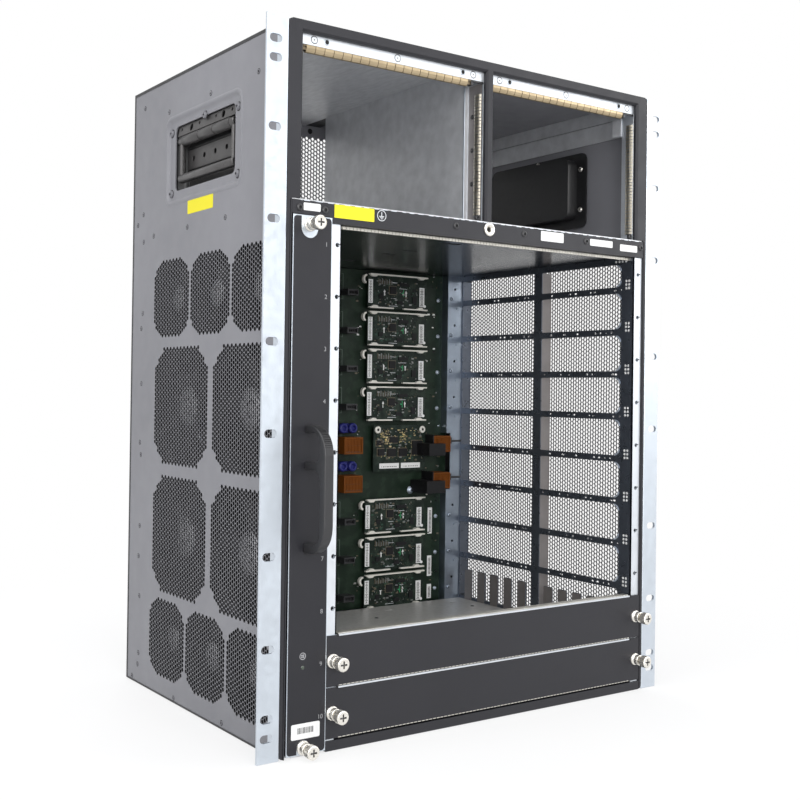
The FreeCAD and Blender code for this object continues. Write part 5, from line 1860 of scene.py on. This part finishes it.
@dataclass
class FanTray:
    """Tray plate with its film, figures, handle, channel and collars."""

    left: float = -213.6
    right: float = -174.5
    low: float = 1.5
    high: float = 454.6
    screw_x: float = -197.0
    screws: Point2 = (447.1, 7.5)
    film_face: float = -158.4
    handle_x: float = -195.0
    inner: float = -175.7
    back: float = 110.8
    channel: Point2 = (14.2, 439.4)

    def notch(self, edge: float, centre: float, radius: float, way: int) -> Loop:
        """Returns a U-shaped notch that opens at an edge of the film.

        Args:
            edge: Height of the edge.
            centre: Height of the arc's middle.
            radius: Radius of the arc.
            way: 1 for the upper edge, -1 for the lower one.

        Returns:
            The notch's points, in the order of the film's outline.
        """
        x, side, start = self.screw_x, way * radius, 90 - 90 * way
        return [(x + side, edge), *arc(x, centre, radius, start, start - 180, 16),
                (x - side, edge)]

    def film(self) -> None:
        """Builds the black cover film with a round notch at each captive screw."""
        low, high = self.low + 0.9, self.high - 0.9
        loop = rounded(self.left + 0.9, self.right - 0.9, low, high, 3, 6)
        shape = Shape("tray_film")
        shape.sheet(loop[:14] + self.notch(high, 444.1, 8.5, 1) + loop[14:]
                    + self.notch(low, 7.5, 6.4, -1), [], XZ, self.film_face, FACE)
        shape.build(Finish.OVERLAY, node="fan_tray_overlay", body=TRAY)

    def figures(self) -> None:
        """Builds the slot numbers and the round status mark with its lens."""
        x, z, y = -198.5, 84.3, self.film_face
        shape = Shape("tray_figures")
        for number in SLOTS:
            lettered(shape, str(number), -180.3, slot_bottom(number) + PITCH / 2 - 1, 5.4, y)
        shape.build(Finish.DIM_PRINT, body=TRAY)
        shape = Shape("tray_status_mark")
        shape.hoop(x, z, 3.1, 2.4, XZ, y - 0.04, y, 24)
        for u, v in ring(x, z, 1.1, 4, 0.5):
            shape.prism(ring(u, v, 0.75, 10), XZ, y - 0.04, y)
        shape.build(Finish.DIM_PRINT, body=TRAY)
        lens = Shape("tray_lamp")
        lens.lathe(((1.7, 0), (1.6, 0.25), (1, 0.5), (0.3, 0.6)), XZ, x, z - 9.5, 20,
                   base=y, out=-1)
        lens.build(Finish.LENS, body=TRAY)

    def label(self) -> None:
        """Builds the label at the bottom, whose bars are of uneven widths."""
        y = self.film_face
        shape = Shape("tray_label")
        shape.prism(rounded(-209, -180.6, 15, 28, 1.4, 4), XZ, y - 0.1, y)
        shape.slot = 1
        u, step = -203, 0
        while u < -187:
            wide = 0.3 + 0.55 * abs(math.sin(step * 2.3))
            shape.box(u, u + wide, y - 0.13, y - 0.1, 19.6, 24.6)
            u += wide + 0.35 + 0.3 * abs(math.sin(step * 1.3))
            step += 1
        shape.build(Finish.WHITE, Finish.INK, body=TRAY)

    def handle(self) -> None:
        """Builds the moulded pull handle and the fine ribs of its shoulder."""
        soft_copy("fan_tray_handle", "tray_pull", Finish.PLASTIC, 1.3, 4, TRAY)
        ribs = Shape("tray_pull_ribs")
        for step in range(17):
            a = math.radians(6 + 4.2 * step)
            side, rise = math.cos(a), math.sin(a)
            loop = [(-166 - reach * rise + drift * side, 254 + reach * side + drift * rise)
                    for reach, drift in ((23.6, -0.42), (24.5, -0.28), (24.5, 0.28), (23.6, 0.42))]
            ribs.prism(loop, YZ, self.handle_x - 3.4, self.handle_x + 3.4)
        ribs.build(Finish.PLASTIC, body=TRAY)

    def body(self) -> None:
        """Builds the galvanised channel behind the plate."""
        (low, high), left, front = self.channel, -212.4, -156.8
        shape = Shape("tray_channel")
        bores = [ring(y, z, width / 2 - 3, 40) for width, y, z in FAN_PLACES]
        shape.sheet(rectangle(front, self.back, low, high), bores, YZ, self.inner, self.right)
        for y in (front, self.back - GAUGE):
            shape.box(left, self.inner, y, y + GAUGE, low, high)
        for z in (low, high - GAUGE):
            shape.box(left, self.inner, front + GAUGE, self.back - GAUGE, z, z + GAUGE)
        shape.build(Finish.SHEET, node="fan_tray_frame", body=TRAY)

    def build(self) -> None:
        """Builds the tray."""
        soft_copy("fan_tray_plate", "tray_face", Finish.ZINC, 0.2, 2, TRAY)
        self.film()
        self.figures()
        self.label()
        self.handle()
        self.body()
        shape = Shape("tray_screw_rings")
        for z in self.screws:
            collar(shape, self.screw_x, z)
        shape.build(Finish.NICKEL, node="tray_collars", body=TRAY)
        for name, z in zip(("tray_screw_top", "tray_screw_bottom"), self.screws):
            CaptiveScrew(name, name, self.screw_x, z).build()


@dataclass
class Fans:
    """The ten axial fans: square frames, struts, hubs and bladed rotors."""

    left: float = -213.2
    right: float = -175.7
    wall: float = 3.0
    clearance: float = 4.0
    pitch_angle: float = 38.0
    chord: float = 24.0
    thick: float = 1.6

    def frame(self, shape: Shape, width: float, y: float, z: float) -> None:
        """Adds one square frame with its bore, struts, motor plate and axle."""
        half, right, hub = width / 2, self.right, self.hub(width)
        bore, reach = half - self.wall, (half - 5.2) * math.sqrt(2)
        holes = [ring(y, z, bore, 56)]
        holes += [ring(*place, 2.1, 10) for place in ring(y, z, reach, 4, 0.5)]
        shape.sheet(rounded(y - half, y + half, z - half, z + half, 3.5, 4), holes, YZ,
                    self.left, right)
        shape.lathe(((hub, 0), (hub, 2.6), (hub - 0.6, 3), (2.5, 3)), YZ, y, z, 40,
                    base=right, out=-1)
        for a, b in ((2.5, bore + 1.5), (bore + 1.5, 2.5)):
            shape.box(right - 3, right, y - a, y + a, z - b, z + b)
        shape.lathe(((2.5, self.left + 5.4), (2.5, right - 2)), YZ, y, z, 20)

    def hub(self, width: float) -> float:
        """Returns the hub radius of a fan of a width."""
        return 22.5 if width > 100 else 15

    def blade(self, shape: Shape, width: float, y: float, z: float, turn: float) -> None:
        """Adds one cambered, swept blade."""
        root, tip = self.hub(width) * 0.94, width / 2 - self.wall - self.clearance
        middle, count = (self.left + 2 + self.right - 3.4) / 2, 7
        points: list[Point3] = []
        for side in (-0.5, 0.5):
            for row in range(count):
                share = row / (count - 1)
                radius = root + (tip - root) * share
                pitch = math.radians(self.pitch_angle + 9 * (share - 0.5))
                chord = self.chord * (0.92 + 0.16 * share)
                for column in range(count):
                    along = (column / (count - 1) - 0.5) * chord
                    rise = 2.6 * (1 - (2 * along / chord) ** 2) + side * self.thick
                    x = along * math.cos(pitch) - rise * math.sin(pitch)
                    sweep = along * math.sin(pitch) + rise * math.cos(pitch)
                    angle = turn + (sweep + 0.16 * (radius - root)) / radius
                    points.append((middle + x, y - radius * math.sin(angle),
                                   z + radius * math.cos(angle)))
        last, sheet = count - 1, count * count
        faces: list[Sequence[int]] = []
        for a in (row * count + column for row in range(last) for column in range(last)):
            quad = (a, a + 1, a + count + 1, a + count)
            faces += [quad, tuple(sheet + k for k in reversed(quad))]
        border = [*range(last), *range(last, sheet - 1, count),
                  *range(sheet - 1, sheet - count, -1), *range(sheet - count, 0, -count)]
        faces += [(a, b, sheet + b, sheet + a) for a, b in zip(border, border[1:] + border[:1])]
        shape.add(points, faces, True)

    def rotor(self, number: int, width: float, y: float, z: float) -> None:
        """Builds one rotor on its own body."""
        hub, blades = self.hub(width), 7 if width > 100 else 5
        x0, x1 = self.left + 2, self.right - 3.4
        shape = Shape(f"impeller_{number:02d}")
        shape.lathe(((2.6, x0 + 3), (2.6, x1), (hub - 1, x1), (hub, x1 - 1), (hub, x0 + 2),
                     (hub - 0.7, x0 + 0.6), (hub - 2.4, x0), (0.2, x0)), YZ, y, z, 40, False)
        for index in range(blades):
            self.blade(shape, width, y, z, math.tau * index / blades + 0.37 * number)
        shape.slot = 1
        shape.lathe(((hub * 0.86, 0.02), (hub * 0.86, 0.18), (0.2, 0.2)), YZ, y, z, 40, False,
                    x0, -1)
        shape.slot = 2
        for inner, outer in ((0.72, 0.76), (0.30, 0.36)):
            shape.hoop(y, z, hub * outer, hub * inner, YZ, x0 - 0.26, x0 - 0.2, 32)
        shape.build(Finish.FAN, Finish.HUB, Finish.INK, body=f"fan_{number:02d}",
                    node=f"fan_rotor_{number:02d}")

    def build(self) -> None:
        """Builds frames and rotors."""
        frames = Shape("fan_frames")
        for number, place in enumerate(FAN_PLACES, 1):
            self.frame(frames, *place)
            self.rotor(number, *place)
        frames.build(Finish.FAN, node="fan_housings", body=TRAY)


# --- Blank panels ---
@dataclass
class BlankPanel:
    """Painted blank front with its spring strip, collars and captive screws."""

    word: str
    number: int
    left: float = -174.2
    right: float = 215.4
    inner: Point2 = (-163.4, 202.8)
    screws: Point2 = (-168.0, 209.7)
    fingers: int = 84

    def strip(self, low: float, high: float) -> None:
        """Builds the sprung strip on the upper edge and the marks on the lower one.

        Args:
            low, high: Edges of the panel.
        """
        shape = Shape("blank_strip_" + self.word)
        start, end = self.inner[0] + 1.6, self.inner[1] - 1.6
        rise = 0.8 * (1.15 if self.word == "upper" else 0.28)
        step = (end - start) / self.fingers
        shape.box(start, end, FACE - 0.14, FACE + 1.6, high - 1.15, high + 0.28)
        shape.slot = 1
        for x in (start + index * step for index in range(self.fingers)):
            shape.box(x + 0.15, x + step - 0.15, FACE + 1.8, FACE + 9.6, high - 0.05, high + rise)
            shape.box(x + 0.5, x + step - 0.5, FACE - 0.1, FACE, low + 0.15, low + 0.85)
        shape.slot = 2
        for x0, x1 in ((self.inner[0] - 0.4, start), (end, self.inner[1] + 0.4)):
            shape.box(x0, x1, FACE - 0.2, FACE + 9.6, high - 1.7, high + 0.25)
        shape.build(Finish.WHITE_ZINC, Finish.CREAM, Finish.PIT, body="blank_" + self.word)

    def build(self) -> None:
        """Builds the panel and all that it carries."""
        body, middle = "blank_" + self.word, slot_bottom(self.number) + PITCH / 2
        low, high = middle - PITCH / 2 + 0.35, middle + PITCH / 2 - 0.35
        shape = Shape("blank_face_" + self.word)
        holes = [ring(x, middle, 2.9, 20) for x in self.screws]
        shape.sheet(rectangle(self.left, self.right, low, high), holes, XZ, FACE, FACE + GAUGE)
        for z in (low, high - GAUGE):
            shape.box(*self.inner, FACE + GAUGE, FACE + 11.2, z, z + GAUGE)
        shape.build(Finish.BLACK, body=body, bevel=0.22, node="blank_panel_" + self.word)
        self.strip(low, high)
        rim = Shape("blank_rim_" + self.word)
        rim.box(self.left, self.inner[0] - 0.4, FACE + 0.15, FACE + 1, high - 0.02, high + 0.12)
        rim.build(Finish.ZINC, body=body)
        rings = Shape("blank_screw_rings_" + self.word)
        for x in self.screws:
            collar(rings, x, middle)
        rings.build(Finish.NICKEL, body=body, node="blank_collars_" + self.word)
        for side, x in zip(Side, self.screws):
            name = f"{self.word}_screw_{side.word}"
            CaptiveScrew("blank_" + name, name, x, middle).build()


# --- Studio ---
def seen_rays(tree: bpy.types.NodeTree) -> bpy.types.NodeSocket:
    """Returns a factor of 1 for rays that see, mirror or look through to the background.

    Args:
        tree: Node tree that gets the nodes.

    Returns:
        Output socket that carries the factor.
    """
    path = tree.nodes.new("ShaderNodeLightPath")
    total = path.outputs["Is Camera Ray"]
    for name in ("Is Glossy Ray", "Is Transmission Ray"):
        add = tree.nodes.new("ShaderNodeMath")
        add.operation, add.use_clamp = "ADD", True
        tree.links.new(total, add.inputs[0])
        tree.links.new(path.outputs[name], add.inputs[1])
        total = add.outputs["Value"]
    return total


@dataclass
class Studio:
    """Camera, lamps, world and floor."""

    place: Point3 = (-0.69969, -0.954111, 0.308851)
    heading: float = 0.5885177
    climb: float = 0.0091384
    tilt: float = 0.0138340
    lens: float = 50.354
    shift: Point2 = (0.07976, -0.02675)
    centre: Point3 = (0, 0, 0.32)

    def camera(self) -> None:
        """Sets the camera up and makes it the scene's own."""
        ahead = Vector((math.sin(self.heading) * math.cos(self.climb),
                        math.cos(self.heading) * math.cos(self.climb), math.sin(self.climb)))
        right = Vector((math.cos(self.heading), -math.sin(self.heading), 0))
        rise = right.cross(ahead)
        cos, sin = math.cos(self.tilt), math.sin(self.tilt)
        across, upward = cos * right + sin * rise, cos * rise - sin * right
        data = bpy.data.cameras.new("studio_camera")
        data.sensor_width = 36
        data.lens = self.lens
        data.shift_x, data.shift_y = self.shift
        data.clip_start, data.clip_end = 0.02, 60
        camera = bpy.data.objects.new("studio_camera", data)
        camera.matrix_world = Matrix((
            (across.x, upward.x, -ahead.x, self.place[0]),
            (across.y, upward.y, -ahead.y, self.place[1]),
            (across.z, upward.z, -ahead.z, self.place[2]),
            (0, 0, 0, 1)))
        bpy.context.scene.collection.objects.link(camera)
        bpy.context.scene.camera = camera

    def lamp(self, name: str, place: Point3, size: float, power: float,
             aim: Point3 | None = None) -> None:
        """Adds one soft square lamp that faces a point."""
        data = bpy.data.lights.new(name, "AREA")
        data.shape = "SQUARE"
        data.size = size
        data.energy = power
        lamp = bpy.data.objects.new(name, data)
        lamp.location = place
        towards = Vector(aim or self.centre) - Vector(place)
        lamp.rotation_euler = towards.to_track_quat("-Z", "Y").to_euler()
        bpy.context.scene.collection.objects.link(lamp)

    def lamps(self) -> None:
        """Adds the soft key, fill, top and rim lamps."""
        self.lamp("key", (-0.5, -2.6, 1.3), 1.8, 37)
        self.lamp("side", (-2.4, -0.3, 1.9), 1.8, 38)
        self.lamp("front", (-1, -2.1, 0.6), 1, 11, (0, -0.1, 0.5))
        self.lamp("right", (2.2, -1.6, 1.2), 1.6, 20)
        self.lamp("top", (0, -0.3, 2.6), 2, 26)
        self.lamp("back", (0.6, 2.6, 1.2), 1.8, 30)

    def world(self) -> None:
        """Gives even light, and plain white where a ray sees or mirrors the background."""
        world = bpy.data.worlds.new("studio_world")
        bpy.context.scene.world = world
        world.use_nodes = True
        tree = world.node_tree
        background = tree.nodes["Background"]
        background.inputs["Color"].default_value = (0.62, 0.64, 0.67, 1.0)
        background.inputs["Strength"].default_value = 0.55
        white = tree.nodes.new("ShaderNodeBackground")
        white.inputs["Color"].default_value = (1.0, 1.0, 1.0, 1.0)
        white.inputs["Strength"].default_value = 1.0
        mix = tree.nodes.new("ShaderNodeMixShader")
        tree.links.new(seen_rays(tree), mix.inputs["Fac"])
        tree.links.new(background.outputs["Background"], mix.inputs[1])
        tree.links.new(white.outputs["Background"], mix.inputs[2])
        tree.links.new(mix.outputs["Shader"], tree.nodes["World Output"].inputs["Surface"])

    def floor(self) -> None:
        """Lays the pale floor, which keeps the shadow and fades to white."""
        mesh = bpy.data.meshes.new("studio_floor")
        reach, level = 6, -0.0006
        mesh.from_pydata([(-reach, -reach, level), (reach, -reach, level),
                          (reach, reach, level), (-reach, reach, level)], [], [(0, 1, 2, 3)])
        floor = bpy.data.objects.new("studio_floor", mesh)
        bpy.context.scene.collection.objects.link(floor)
        nodes = Nodes("studio_floor")
        nodes.ramp(nodes.noise(2), (0.86, 0.86, 0.87), (0.9, 0.9, 0.9))
        nodes.set(Roughness=0.8, Specular_IOR_Level=0.2)
        glow = nodes.new("ShaderNodeEmission")
        distance = nodes.new("ShaderNodeVectorMath")
        distance.operation = "LENGTH"
        coordinates = nodes.new("ShaderNodeTexCoord")
        nodes.link(coordinates.outputs["Object"], distance.inputs[0])
        fade = nodes.span(distance.outputs["Value"], 0.72, 1, 0.3, 0.75)
        mix = nodes.new("ShaderNodeMixShader")
        nodes.link(fade, mix.inputs["Fac"])
        nodes.link(nodes.shader.outputs["BSDF"], mix.inputs[1])
        nodes.link(glow.outputs["Emission"], mix.inputs[2])
        seen = nodes.new("ShaderNodeMixShader")
        nodes.link(seen_rays(nodes.tree), seen.inputs["Fac"])
        nodes.link(nodes.shader.outputs["BSDF"], seen.inputs[1])
        nodes.link(mix.outputs["Shader"], seen.inputs[2])
        output = nodes.tree.nodes["Material Output"]
        nodes.link(seen.outputs["Shader"], output.inputs["Surface"])
        mesh.materials.append(nodes.material)

    def build(self) -> None:
        """Sets the whole studio up."""
        self.camera()
        self.lamps()
        self.world()
        self.floor()
        bpy.context.scene.view_settings.view_transform = "Standard"


# --- Assembly ---
def main() -> None:
    """Builds the model piece by piece and reports each."""
    logging.basicConfig(level=logging.INFO, format="%(name)s: %(message)s")
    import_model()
    Studio().build()
    assemblies = (
        SidePanel(Side.LEFT), SidePanel(Side.RIGHT), RoofAndRear(),
        LiftingHandle(Side.LEFT), LiftingHandle(Side.RIGHT), FrontFrame(),
        RackEar(Side.LEFT), RackEar(Side.RIGHT), PowerBays(), CardCage(), Backplane(),
        FanTray(), Fans(), BlankPanel("upper", 9), BlankPanel("lower", 10),
    )
    for assembly in assemblies:
        assembly.build()
        log.info("built %s", type(assembly).__name__)


if __name__ == "__main__":
    main()
